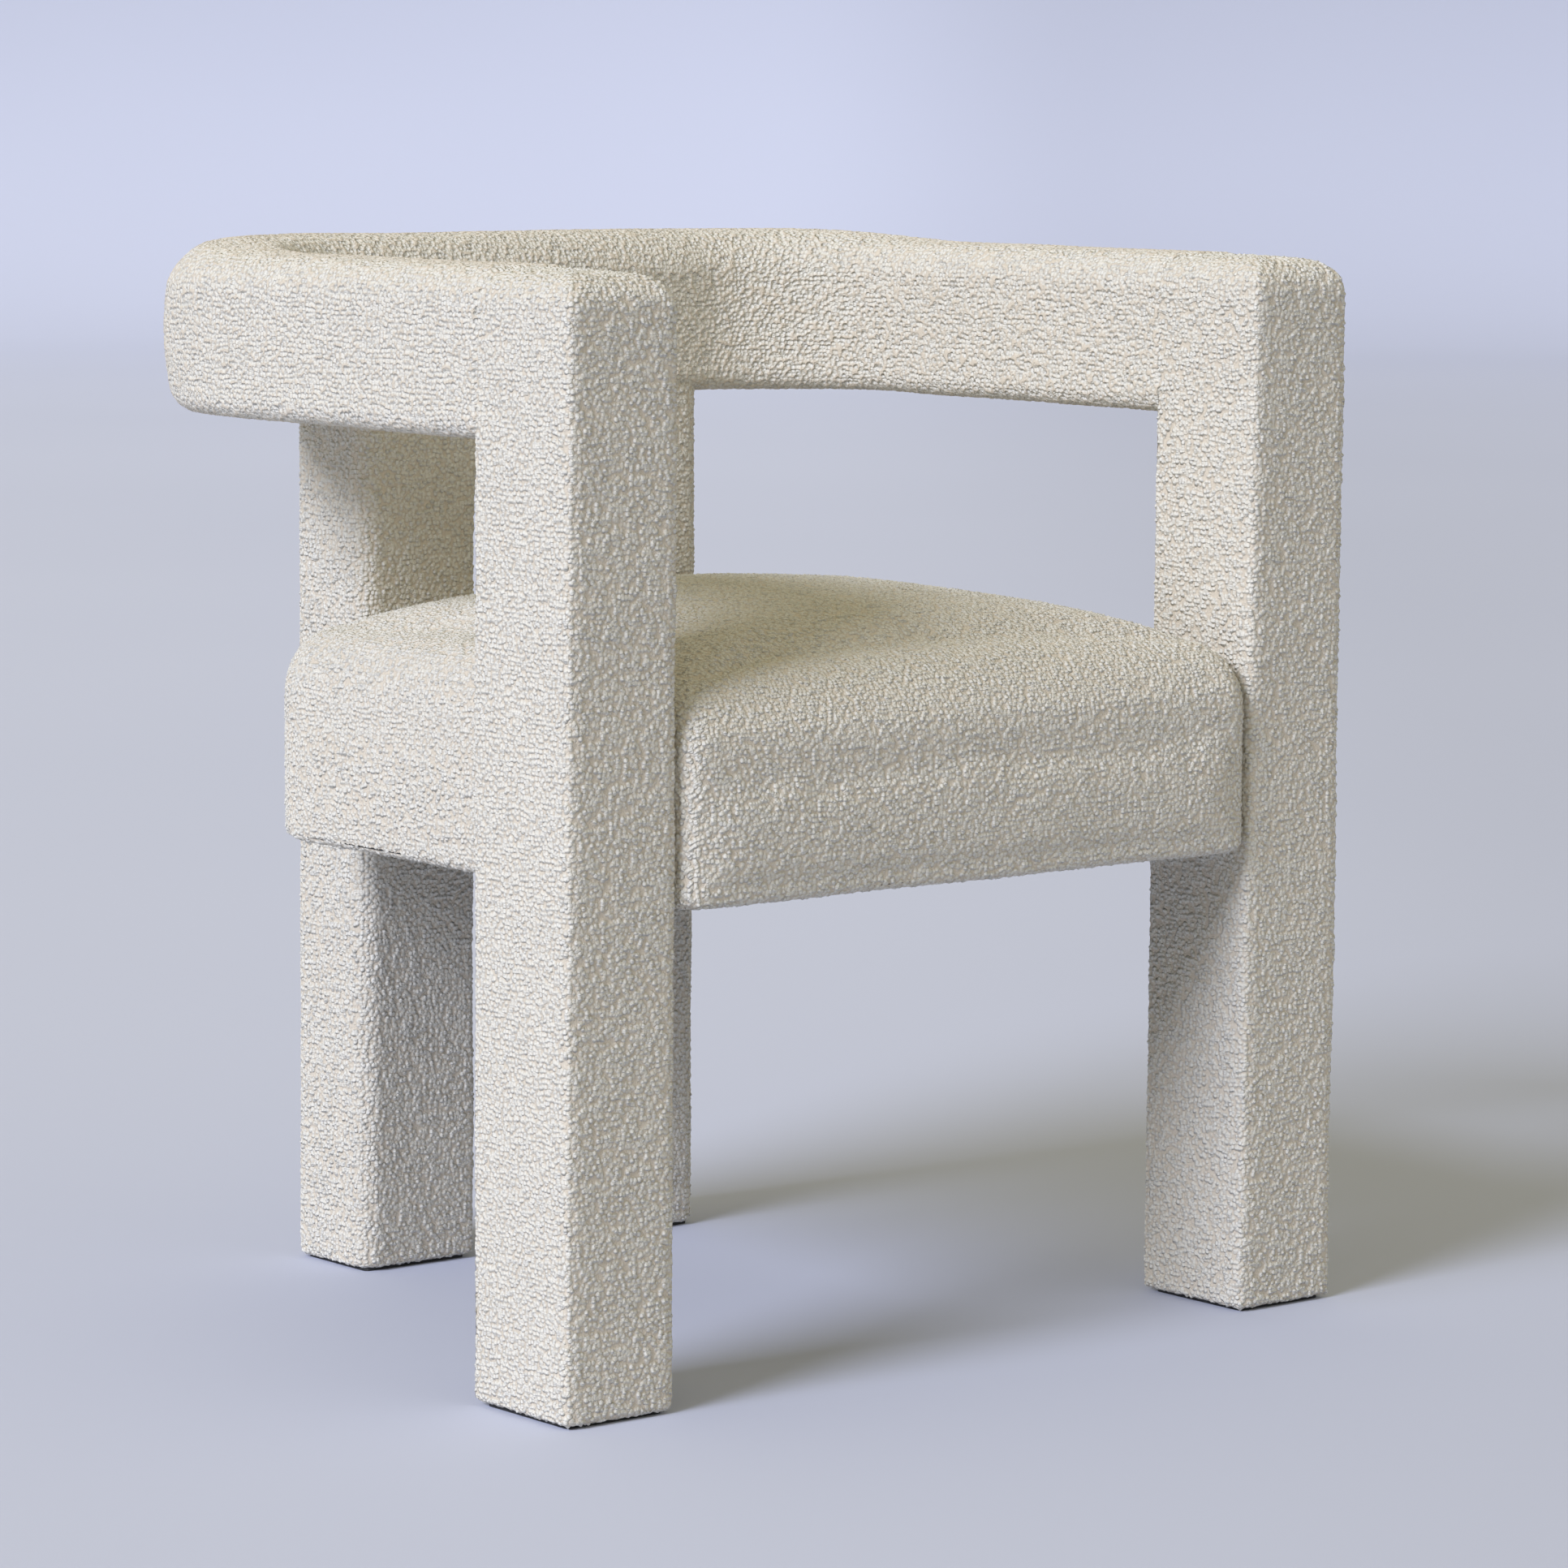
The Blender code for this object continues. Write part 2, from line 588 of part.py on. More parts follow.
def seat_soft_parts():
    """The padding round the frame, the foam block, the cover and the cloth underneath."""
    ring = [seat_outline(SKIN), seat_outline(SKIN + PADDING)]
    side_padding = slab("seat_side_padding", ring, SEAT_FRAME_BASE, SEAT_FRAME_TOP, FOAM)
    crowned("seat_foam", SKIN, SEAT_FOAM_BASE, FOAM)
    cover = crowned("seat_cover", 0.0, SEAT_BASE_HEIGHT, BOUCLE)
    cut(cover, crowned("seat_cover_bore", FABRIC, SEAT_BASE_HEIGHT - 0.01))
    slab("seat_dust_cloth", [seat_outline(SKIN)], SEAT_BASE_HEIGHT, SEAT_BASE_HEIGHT + DUST_CLOTH, DUST_FABRIC)
    return [side_padding, cover]


# Hardware


def bolt_mesh():
    """A button-head bolt along +X, turned from its profile, with a hexagon socket in its head."""
    profile = [
        (-BOLT_HEAD_HEIGHT, 0.0),
        (-BOLT_HEAD_HEIGHT, BOLT_HEAD_RADIUS * 0.6),
        (-BOLT_HEAD_HEIGHT * 0.4, BOLT_HEAD_RADIUS),
        (0.0, BOLT_HEAD_RADIUS),
        (0.0, BOLT_RADIUS),
        (BOLT_LENGTH - 0.001, BOLT_RADIUS),
        (BOLT_LENGTH, BOLT_RADIUS - 0.001),
        (BOLT_LENGTH, 0.0),
    ]
    mesh = bpy.data.meshes.new("bolt_profile")
    edges = [(index, index + 1) for index in range(len(profile) - 1)]
    mesh.from_pydata([(x, radius, 0.0) for x, radius in profile], edges, [])
    turned = bpy.data.objects.new("bolt_profile", mesh)
    CHAIR.objects.link(turned)
    screw = turned.modifiers.new("turned", "SCREW")
    screw.axis = "X"
    screw.steps = ROUND_SIDES
    screw.render_steps = ROUND_SIDES
    screw.use_merge_vertices = True
    screw.merge_threshold = 0.00005
    blank = mesh_of(turned)
    shape = bmesh.new()
    shape.from_mesh(blank)
    bmesh.ops.recalc_face_normals(shape, faces=shape.faces)
    shape.to_mesh(blank)
    shape.free()
    piece = bpy.data.objects.new("bolt_blank", blank)
    CHAIR.objects.link(piece)
    start = (-BOLT_HEAD_HEIGHT - 0.001, 0, 0)
    socket = rod("bolt_socket", BOLT_SOCKET_RADIUS, start, (1, 0, 0), BOLT_SOCKET_DEPTH + 0.001, sides=6)
    cut(piece, socket)
    finished = mesh_of(piece)
    bpy.data.objects.remove(socket)
    finished.name = "bolt"
    return finished


def place_bolt(name, mesh, head, axis, drilled):
    """A bolt whose head bears at a point, and its clearance hole through each piece that it passes."""
    bolt = add_piece(name, mesh, ZINC_STEEL)
    turn = Vector(axis).to_track_quat("X", "Z").to_matrix().to_4x4()
    bolt.matrix_world = Matrix.Translation(head) @ turn
    start = Vector(head) - Vector(axis) * 0.005
    hole = rod(name + "_hole", BOLT_RADIUS + HOLE_CLEARANCE, start, axis, BOLT_LENGTH + 0.006, sides=10)
    for piece in drilled:
        cut(piece, hole)


def build_rail():
    """The U-shaped rail; returns its timber and the back's soft layers, which the posts go into."""
    arms = {}
    for word, side in SIDES.items():
        arms[word] = arm_core("arm_core_" + word, side)
        corner_core("corner_core_" + word, side)
        path, longer = arm_path(side), arm_path(side, overrun=0.01)
        hollow_rail("arm_padding_" + word, path, longer, SKIN, PADDING, FOAM)
        hollow_rail("arm_cover_" + word, path, longer, 0.0, FABRIC, BOUCLE)
    back = back_core("back_core")
    padding = hollow_rail("back_padding", back_path(), back_path(0.01), SKIN, PADDING, FOAM)
    cover = hollow_rail("back_cover", back_path(), back_path(0.01), 0.0, FABRIC, BOUCLE)
    return arms, back, [padding, cover]


def build_leg(place, bounds, layer, upright_round, rail_timber):
    """A padded leg on its glide, with its post's tenon let into the rail."""
    padding = layer(f"{place}_padding", bounds, SKIN, PADDING, FOAM)
    cover = layer(f"{place}_cover", bounds, 0.0, FABRIC, BOUCLE)
    leg_post, middle = post(f"{place}_post", bounds, upright_round)
    mortise(rail_timber, f"{place}_mortise", middle)
    glide(f"{place}_glide", bounds, middle)
    glide_hole(leg_post, f"{place}_glide_hole", middle)
    return [cover, padding, leg_post]


def build():
    arms, back, back_layers = build_rail()
    seat_layers = seat_soft_parts()
    rails = seat_rails()
    webbing()
    bolt = bolt_mesh()
    heights = [("upper", BOLT_HEIGHT + BOLT_SPACING / 2), ("lower", BOLT_HEIGHT - BOLT_SPACING / 2)]
    for word, side in SIDES.items():
        corner_block("corner_block_front_" + word, side, -1)
        corner_block("corner_block_rear_" + word, side, 1)

        bounds = front_leg_box(side)
        front = build_leg(f"front_leg_{word}", bounds, front_leg_layer, FRONT_LEG_ROUND, arms[word])
        middle = side * (SIDE - ARM_THICKNESS / 2)
        way = [(middle, FRONT_LEG_REAR - CORE - OVERSIZE), (middle, FRONT_LEG_REAR + OVERSIZE)]
        window = along_path(f"arm_window_{word}", way, CORE - GAP / 2)
        for layer in front[:2]:
            cut(layer, window)

        bounds = rear_leg_box(side)
        rear = build_leg(f"rear_leg_{word}", bounds, rear_leg_layer, REAR_LEG_ROUND, back)
        low, high = inset(*bounds, CORE - GAP)
        window_low = (*low[:2], RAIL_BASE - OVERSIZE)
        window = box(f"post_window_{word}", window_low, (*high[:2], RAIL_CORE_BASE + GAP))
        for layer in back_layers:
            cut(layer, window)

        for level, height in heights:
            head = (side * (FRAME_HALF_WIDTH - SEAT_RAIL_THICKNESS), FRONT_LEG_REAR - CORE - BOLT_EDGE, height)
            drilled = [rails[word], *seat_layers, *front]
            place_bolt(f"seat_bolt_front_{word}_{level}", bolt, head, (side, 0, 0), drilled)
            head = (side * (REAR_LEG_INNER + REAR_LEG_WIDTH / 2), FRAME_REAR - SEAT_RAIL_THICKNESS, height)
            drilled = [rails["rear"], *seat_layers, *rear]
            place_bolt(f"seat_bolt_rear_{word}_{level}", bolt, head, (0, 1, 0), drilled)


build()
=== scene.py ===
# %% [markdown]
# # An open-frame armchair in cream boucle
#
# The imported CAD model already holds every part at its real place: timber posts, foam, webbing,
# bolts, glides and plain stand-ins for the fabric. This script keeps all of that still and makes
# the looks around it. Each fabric cover is rebuilt as a fine sheet with real relief, and every
# finish is made from nodes.

import json
from math import cos, pi, radians, sin

import bmesh
import bpy
import numpy as np
from mathutils import Matrix, Vector


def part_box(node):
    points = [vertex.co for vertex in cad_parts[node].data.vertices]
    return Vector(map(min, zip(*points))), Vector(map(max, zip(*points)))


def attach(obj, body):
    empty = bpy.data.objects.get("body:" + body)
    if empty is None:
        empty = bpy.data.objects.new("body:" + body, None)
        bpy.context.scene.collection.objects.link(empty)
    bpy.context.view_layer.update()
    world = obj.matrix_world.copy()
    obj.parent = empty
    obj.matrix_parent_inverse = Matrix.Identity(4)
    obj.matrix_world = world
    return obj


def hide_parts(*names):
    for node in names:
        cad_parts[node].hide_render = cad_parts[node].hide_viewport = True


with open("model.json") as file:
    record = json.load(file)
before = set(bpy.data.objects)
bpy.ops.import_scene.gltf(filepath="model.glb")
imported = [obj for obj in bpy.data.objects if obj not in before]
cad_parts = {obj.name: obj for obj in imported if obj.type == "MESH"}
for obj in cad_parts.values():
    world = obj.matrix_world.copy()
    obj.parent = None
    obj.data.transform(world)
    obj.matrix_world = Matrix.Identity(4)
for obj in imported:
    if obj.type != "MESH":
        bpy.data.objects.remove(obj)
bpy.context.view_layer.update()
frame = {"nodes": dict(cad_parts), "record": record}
print("frame nodes:", len(frame["nodes"]))

# %% [markdown]
# ## The camera
#
# A long lens far away keeps the upright edges nearly parallel, as in a catalogue picture. The
# camera is placed by what it aims at, how far round the chair it stands, how far it tilts down
# and its distance, because those are the numbers that change when a real camera is moved.

# %% Aim the camera
CAMERA_AIM = Vector((0.0342, -0.0408, 0.3654))
CAMERA_TURN = radians(39.53)
CAMERA_TILT = radians(6.91)
CAMERA_ROLL = radians(0.41)
CAMERA_DISTANCE = 4.126
CAMERA_LENS = 135.2

level_right = Vector((cos(CAMERA_TURN), -sin(CAMERA_TURN), 0.0))
level_back = Vector((-sin(CAMERA_TURN), -cos(CAMERA_TURN), 0.0))
backward = level_back * cos(CAMERA_TILT) + Vector((0.0, 0.0, sin(CAMERA_TILT)))
level_up = level_right.cross(-backward)
camera_right = level_right * cos(CAMERA_ROLL) + level_up * sin(CAMERA_ROLL)
camera_up = level_up * cos(CAMERA_ROLL) - level_right * sin(CAMERA_ROLL)
turned = Matrix((camera_right, camera_up, backward)).transposed().to_4x4()
camera = bpy.data.objects.new("camera", bpy.data.cameras.new("camera"))
camera.data.lens = CAMERA_LENS
camera.data.clip_end = 60.0
camera.matrix_world = Matrix.Translation(CAMERA_AIM + backward * CAMERA_DISTANCE) @ turned
bpy.context.scene.collection.objects.link(camera)
bpy.context.scene.camera = camera
print("camera at", [round(x, 3) for x in camera.location])

# %% [markdown]
# ## Writing node maths as Python
#
# A pattern is a formula, and a formula is easier to read as `1 - lane * lane` than as a tangle
# of nodes. `Value` wraps one socket, and its operators add Math nodes. `Net` makes any other
# node from its settings and its inputs. Both work in a material and in a Geometry Nodes tree,
# so one formula can raise the cloth's surface and colour it too.

# %% A value in a node tree, and the tree it grows in
class Value:
    """One number that varies over a surface."""

    def __init__(self, net, socket):
        self.net, self.socket = net, socket

    def math(self, operation, *others):
        inputs = dict(enumerate((self, *others)))
        return self.net.node("ShaderNodeMath", {"operation": operation}, inputs)

    def __add__(self, other):
        return self.math("ADD", other)

    def __sub__(self, other):
        return self.math("SUBTRACT", other)

    def __mul__(self, other):
        return self.math("MULTIPLY", other)

    def __truediv__(self, other):
        return self.math("DIVIDE", other)

    def __rsub__(self, other):
        return self * -1 + other

    __radd__ = __add__
    __rmul__ = __mul__

    def abs(self):
        return self.math("ABSOLUTE")

    def power(self, exponent):
        return self.math("POWER", exponent)

    def clamp(self):
        """The value kept between 0 and 1."""
        return self.math("MAXIMUM", 0.0).math("MINIMUM", 1.0)

    def smooth(self, start, end):
        """0 below start, 1 above end, with an eased ramp between them."""
        inputs = {"Value": self, "From Min": start, "From Max": end}
        return self.net.node("ShaderNodeMapRange", {"interpolation_type": "SMOOTHSTEP"}, inputs)

    def bell(self, width):
        """1 where the value is 0, fading to nothing a width or two away."""
        return (self * self / (-width * width)).math("EXPONENT")


class Net:
    """A node tree being written."""

    def __init__(self, tree):
        self.tree = tree

    def node(self, kind, settings, inputs, output=0):
        made = self.tree.nodes.new(kind)
        for name, setting in settings.items():
            setattr(made, name, setting)
        for name, value in inputs.items():
            self.feed(made.inputs[name], value)
        return Value(self, made.outputs[output])

    def feed(self, socket, value):
        if isinstance(value, Value):
            self.tree.links.new(value.socket, socket)
        else:
            socket.default_value = value

    def parts(self, vector):
        return [self.node("ShaderNodeSeparateXYZ", {}, {"Vector": vector}, axis) for axis in range(3)]

    def vector(self, x, y, z):
        return self.node("ShaderNodeCombineXYZ", {}, {"X": x, "Y": y, "Z": z})

    def noise(self, vector, scale, detail=2.0, roughness=0.5):
        inputs = {"Vector": vector, "Scale": scale, "Detail": detail, "Roughness": roughness}
        return self.node("ShaderNodeTexNoise", {}, inputs, "Fac")

    def mix(self, share, first, second):
        """A colour between two colours."""
        return self.node("ShaderNodeMix", {"data_type": "RGBA"}, {0: share, 6: first, 7: second}, 2)


print("node helpers ready")

# %% [markdown]
# ## The nubs
#
# Boucle is woven from a looped yarn, so its surface is small round nubs with darker gaps
# between them. A Voronoi texture divides space into cells of about one size, and a dome over
# each cell is a nub. It reads the cloth's place at rest, so the nubs run over every edge and
# seam with no break. A random colour for each cell picks some nubs to be fat, where the yarn's
# loop stands up. The weave itself shows only faintly, as rows: a wave across the cloth, in
# step with the row pitch.

# %% The nub formula
NUB_PITCH = 0.0030
NUB_UNEVENNESS = 0.9
NUB_REACH = 0.74  # where a dome meets the ground, as a share of the pitch
FAT_START, FAT_FULL = 0.45, 0.8  # the chances past which a nub begins to be fat, and is
FAT_SHARE = 0.4
ROW_PITCH = 0.0034
ROW_SHARE = 0.2


def nub_pattern(net, rest, across):
    """(height from 0 in a gap to about 1 on a fat nub, how fat the nub is)."""
    inputs = {"Vector": rest, "Scale": 1 / NUB_PITCH, "Randomness": NUB_UNEVENNESS}
    distance = net.node("ShaderNodeTexVoronoi", {}, inputs, "Distance")
    chance, _, _ = net.parts(Value(net, distance.socket.node.outputs["Color"]))
    fat = chance.smooth(FAT_START, FAT_FULL)
    dome = (1 - (distance / NUB_REACH).power(2.0)).clamp()
    wander = net.noise(rest, 40.0, 1.0) * (2.0 * ROW_PITCH)
    rows = ((across + wander) * (2 * pi / ROW_PITCH)).math("COSINE")
    height = dome * (fat * FAT_SHARE + (1 - FAT_SHARE)) * (rows * ROW_SHARE + (1 - ROW_SHARE))
    return height, fat


print("nubs are about", NUB_PITCH * 1000, "mm apart")

# %% [markdown]
# ## The boucle finish
#
# The nubs are pale and a little uneven in colour. The ground between them is a warm tan, partly
# the yarn's own tone and partly painted shade in the gaps.
# The same formula that raises the mesh also feeds a Bump node, which sharpens each nub below
# the size of the mesh's faces. A finer noise adds the fibres. The cloth is matt, with a little
# sheen, set straight on the shader.

# %% Start a material
def new_material(name):
    material = bpy.data.materials.new(name)
    material.use_nodes = True
    net = Net(material.node_tree)
    shader = material.node_tree.nodes["Principled BSDF"]
    return material, net, shader


def attribute(net, name, output="Vector"):
    return net.node("ShaderNodeAttribute", {"attribute_name": name}, {}, output)


print("material helpers ready")

# %% [markdown]
# The domes of the pattern are blended from ground to nub by their height, so the colour follows
# the relief, and the darker ground in the gaps is partly painted shade. The cloth's place at rest
# and its distance across the rows are attributes that each cover stores for itself.

# %% Make the boucle
FIBRE_SCALE = 1400.0
NUB_COLOUR = (0.89, 0.87, 0.785, 1.0)
NUB_SHADE = (0.87, 0.84, 0.74, 1.0)
# painted shade: this ground colour is darker than the yarn's own tan, standing in for shade in the gaps
# between nubs
GROUND_TONE_AND_GAP_SHADE = (0.77, 0.69, 0.56, 1.0)


def make_boucle():
    material, net, shader = new_material("cream_boucle")
    rest = attribute(net, "rest")
    height, fat = nub_pattern(net, rest, attribute(net, "across", "Fac"))
    fibres = net.noise(rest, FIBRE_SCALE)
    nub = net.mix(fat, NUB_SHADE, NUB_COLOUR)
    # the gaps show the darker ground colour, which is partly painted shade; the nub tops show the nub
    # colour
    nub_share_over_gap_shade = (height + (fibres - 0.5) * 0.2).smooth(0.0, 0.4)
    net.feed(shader.inputs["Base Color"], net.mix(nub_share_over_gap_shade, GROUND_TONE_AND_GAP_SHADE, nub))
    relief = height + (fibres - 0.5) * 0.35
    bump = net.node("ShaderNodeBump", {}, {"Strength": 1.0, "Distance": 0.003, "Height": relief})
    net.feed(shader.inputs["Normal"], bump)
    shader.inputs["Roughness"].default_value = 0.92
    shader.inputs["Specular IOR Level"].default_value = 0.2
    shader.inputs["Sheen Weight"].default_value = 0.12
    shader.inputs["Sheen Roughness"].default_value = 0.5
    return material


boucle = make_boucle()
print("made", boucle.name)

# %% [markdown]
# ## Raising the nubs
#
# A bump map leaves the outline of the chair perfectly straight, and boucle never is. A Geometry
# Nodes tree reads the same formula at each point and moves the point along its normal. It also
# reads `ridge`, the distance to a sewn edge where the cloth bunches up, and `tuck`, the
# distance to a seam where the cloth is pulled in. The result is turned into a plain mesh,
# because a finished piece should not depend on a live modifier.

# %% Build the relief tree
TUCK_WIDTH = 0.0022


def make_relief_tree():
    tree = bpy.data.node_groups.new("nub_relief", "GeometryNodeTree")
    for name, kind, start in (
        ("Geometry", "NodeSocketGeometry", None),
        ("Nub height", "NodeSocketFloat", 0.0018),
        ("Ridge height", "NodeSocketFloat", 0.0014),
        ("Ridge width", "NodeSocketFloat", 0.0022),
        ("Tuck depth", "NodeSocketFloat", 0.0016),
        ("Softness", "NodeSocketFloat", 0.0012),
        ("Finish", "NodeSocketMaterial", None),
    ):
        socket = tree.interface.new_socket(name, in_out="INPUT", socket_type=kind)
        if start is not None:
            socket.default_value = start
    tree.interface.new_socket("Geometry", in_out="OUTPUT", socket_type="NodeSocketGeometry")
    net = Net(tree)
    group = tree.nodes.new("NodeGroupInput")
    given = {socket.name: Value(net, socket) for socket in group.outputs if socket.name}

    def named(name):
        return net.node("GeometryNodeInputNamedAttribute", {"data_type": "FLOAT"}, {"Name": name})

    rest = net.node("GeometryNodeInputPosition", {}, {})
    height, _ = nub_pattern(net, rest, named("across"))
    gather = net.noise(rest, 210.0, 1.0)
    ridge = named("ridge").abs()
    crest = (ridge / given["Ridge width"]).bell(1.0) * given["Ridge height"] * (gather * 0.8 + 0.6)
    tuck = named("tuck").abs().bell(TUCK_WIDTH) * given["Tuck depth"]
    loose = (net.noise(rest, 9.0, 1.0) - 0.5) * given["Softness"] * 2
    lift = (height - 0.5) * given["Nub height"] + crest - tuck + loose
    normal = net.node("GeometryNodeInputNormal", {}, {})
    offset = net.node("ShaderNodeVectorMath", {"operation": "SCALE"}, {0: normal, "Scale": lift})
    moved = net.node("GeometryNodeSetPosition", {}, {"Geometry": given["Geometry"], "Offset": offset})
    real = net.node("GeometryNodeRealizeInstances", {}, {"Geometry": moved})
    dressed = net.node("GeometryNodeSetMaterial", {}, {"Geometry": real, "Material": given["Finish"]})
    out = tree.nodes.new("NodeGroupOutput")
    net.feed(out.inputs["Geometry"], dressed)
    return tree


relief_tree = make_relief_tree()
print("relief inputs:", [s.name for s in relief_tree.interface.items_tree if s.in_out == "INPUT"])

# %% [markdown]
# A tree is run on a piece by a modifier. Its inputs are found by name but set by identifier, the
# key under which Blender keeps them. The evaluated result becomes the piece's own mesh.

# %% Run a tree on a piece and keep the plain mesh
def run_tree(piece, tree, **values):
    """Applies a Geometry Nodes tree to a piece, with its inputs set by their names."""
    modifier = piece.modifiers.new(tree.name, "NODES")
    modifier.node_group = tree
    for item in tree.interface.items_tree:
        if item.in_out == "INPUT" and item.name in values:
            modifier[item.identifier] = values[item.name]
    graph = bpy.context.evaluated_depsgraph_get()
    mesh = bpy.data.meshes.new_from_object(piece.evaluated_get(graph))
    piece.modifiers.remove(modifier)
    old = piece.data
    piece.data = mesh
    bpy.data.meshes.remove(old)
    mesh.name = piece.name
    return piece


def raise_nubs(piece, **sizes):
    run_tree(piece, relief_tree, Finish=boucle, **sizes)
    piece.data.polygons.foreach_set("use_smooth", [True] * len(piece.data.polygons))
    print(piece.name, len(piece.data.polygons), "faces")
    return piece


# %% [markdown]
# ## Sheets from grids
#
# Every cover starts as one grid of points: rings or sections, one after another, with the same
# number of points in each. A grid is quick to build with numpy, it gives clean four-sided
# faces, and its row and column numbers make a tidy UV map for baking, with no overlap. Each row
# closes on itself, as a sleeve does.

# %% A grid of points becomes a mesh
BAKE_MAP = "OFBake"


def note_cloth(mesh, points, across, **seams):
    """Stores each point's place at rest, its distance across the rows and its distances to seams."""
    rest = mesh.attributes.new("rest", "FLOAT_VECTOR", "POINT")
    rest.data.foreach_set("vector", points.astype(np.float32).ravel())
    far = np.ones(len(mesh.vertices))
    for word, values in {"across": across, "ridge": far, "tuck": far, **seams}.items():
        values = np.asarray(values, np.float32).ravel()
        mesh.attributes.new(word, "FLOAT", "POINT").data.foreach_set("value", values)


def grid_sheet(name, points, across, **seams):
    """A sleeve from points[row, column], with the attributes that the relief and the finish read."""
    rows, columns = points.shape[:2]
    index = np.arange(rows * columns).reshape(rows, columns)
    index = np.concatenate([index, index[:, :1]], axis=1)
    around_face = [index[:-1, :-1], index[:-1, 1:], index[1:, 1:], index[1:, :-1]]
    corners = np.stack(around_face, axis=-1).reshape(-1, 4)
    mesh = bpy.data.meshes.new(name)
    mesh.vertices.add(rows * columns)
    mesh.vertices.foreach_set("co", points.astype(np.float32).ravel())
    mesh.loops.add(corners.size)
    mesh.loops.foreach_set("vertex_index", corners.astype(np.int32).ravel())
    mesh.polygons.add(len(corners))
    mesh.polygons.foreach_set("loop_start", np.arange(0, corners.size, 4, dtype=np.int32))
    mesh.update(calc_edges=True)
    note_cloth(mesh, points, across, **seams)
    down, over = index.shape[0] - 1, index.shape[1] - 1
    row, column = np.meshgrid(np.arange(down), np.arange(over), indexing="ij")
    u = np.stack([column, column + 1, column + 1, column], axis=-1) / over
    v = np.stack([row, row, row + 1, row + 1], axis=-1) / down
    layer = mesh.uv_layers.new(name=BAKE_MAP)
    layer.uv.foreach_set("vector", np.stack([u, v], axis=-1).astype(np.float32).ravel())
    piece = bpy.data.objects.new(name, mesh)
    bpy.context.scene.collection.objects.link(piece)
    return piece


def weld(piece, distance=0.00002):
    """Joins points that lie on each other, such as where a closed top meets itself."""
    shape = bmesh.new()
    shape.from_mesh(piece.data)
    bmesh.ops.remove_doubles(shape, verts=shape.verts, dist=distance)
    shape.to_mesh(piece.data)
    shape.free()
    return piece


def dress(piece, fill, *nodes):
    """The lines that every fabric cover needs: its body and the CAD nodes it stands for."""
    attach(piece, "root")
    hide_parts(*nodes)
    return piece


print("grid tools ready")

# %% [markdown]
# ## Rings round a leg
#
# A leg is a rounded rectangle in plan, carried upwards. Each ring starts at the middle of the
# rear face, where the sleeve is closed by a seam, and runs round counter-clockwise. The front
# legs run up the whole height and round over at the top, so their rings draw in from the front
# and the sides as they climb, until they close on a line.

# %% Points round a rounded rectangle
COLUMN_STEP = 0.0017
QUARTER = pi / 2


def run(start, end, count):
    return np.linspace(start, end, count, endpoint=False)


class Ring:
    """A rounded rectangle whose points keep their number and their order at any size."""

    def __init__(self, low, high, radii, step=COLUMN_STEP):
        self.low, self.high, self.radii = low, high, radii
        wide, deep = high[0] - low[0], high[1] - low[1]
        self.counts = [max(3, round(length / step)) for length in (wide / 2, deep, wide, deep, wide / 2)]
        self.corner = [max(3, round(radius * QUARTER / step)) for radius in radii]
        self.distance = self.measure(self.points(0.0))

    def measure(self, points):
        steps = np.linalg.norm(np.diff(np.vstack([points, points[:1]]), axis=0), axis=1)
        return np.concatenate([[0.0], np.cumsum(steps)[:-1]])

    def points(self, drawn_in, rear_in=None):
        """The ring's points, drawn in by a distance at the front and sides, and by rear_in at the rear."""
        rear_in = drawn_in if rear_in is None else rear_in
        x0, y0 = self.low[0] + drawn_in, self.low[1] + drawn_in
        x1, y1 = self.high[0] - drawn_in, self.high[1] - rear_in
        room = max(0.0, min(x1 - x0, y1 - y0) / 2)
        rl, fl, fr, rr = [min(radius, room) for radius in self.radii]
        middle = (x0 + x1) / 2
        half, left, front, right, last = self.counts
        corners = [
            ((x0 + rl, y1 - rl), rl, QUARTER, self.corner[0]),
            ((x0 + fl, y0 + fl), fl, 2 * QUARTER, self.corner[1]),
            ((x1 - fr, y0 + fr), fr, 3 * QUARTER, self.corner[2]),
            ((x1 - rr, y1 - rr), rr, 0.0, self.corner[3]),
        ]
        lines = [
            ((middle, y1), (x0 + rl, y1), half),
            ((x0, y1 - rl), (x0, y0 + fl), left),
            ((x0 + fl, y0), (x1 - fr, y0), front),
            ((x1, y0 + fr), (x1, y1 - rr), right),
            ((x1 - rr, y1), (middle, y1), last),
        ]
        found = []
        for number, (start, end, count) in enumerate(lines):
            found.append(np.stack([run(start[0], end[0], count), run(start[1], end[1], count)], axis=-1))
            if number < 4:
                (cx, cy), radius, begin, count = corners[number]
                turn = run(begin, begin + QUARTER, count)
                found.append(np.stack([cx + radius * np.cos(turn), cy + radius * np.sin(turn)], axis=-1))
        return np.concatenate(found)

    def column_of(self, corner):
        """The number of the column at the middle of a corner, from 0 at the rear left."""
        before = sum(self.counts[: corner + 1]) + sum(self.corner[:corner])
        return before + self.corner[corner] // 2


print("ring helper ready")

# %% [markdown]
# ## Sizes read from the frame
#
# The covers take their places from the CAD nodes' boxes, so the looks always fit the model.
# Only the roundings, which a box does not tell, are named here again.

# %% Read the boxes
_, leg_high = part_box("front_leg_right_cover")
arm_low, arm_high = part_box("arm_cover_right")
back_low, back_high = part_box("back_cover")
seat_low, seat_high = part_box("seat_cover")
SIDES = {"left": -1, "right": 1}
RAIL_TOP_ROUND = 0.023
RAIL_UNDER_ROUND = 0.014
CORNER_RADIUS = 0.187
FRONT_LEG_ROUND = 0.009
FRONT_LEG_REAR_ROUND = 0.0006  # nearly square, so that the arm's cover meets it flush
REAR_LEG_SOFT_CORNER = 0.015
REAR_LEG_OUTER_CORNER = 0.008
REAR_LEG_CORNER = 0.006
ARM_THICKNESS = arm_high.x - arm_low.x
ROW_STEP = ROW_PITCH / 2
print("arm thickness", round(ARM_THICKNESS, 4), "leg top", round(leg_high.z, 4))

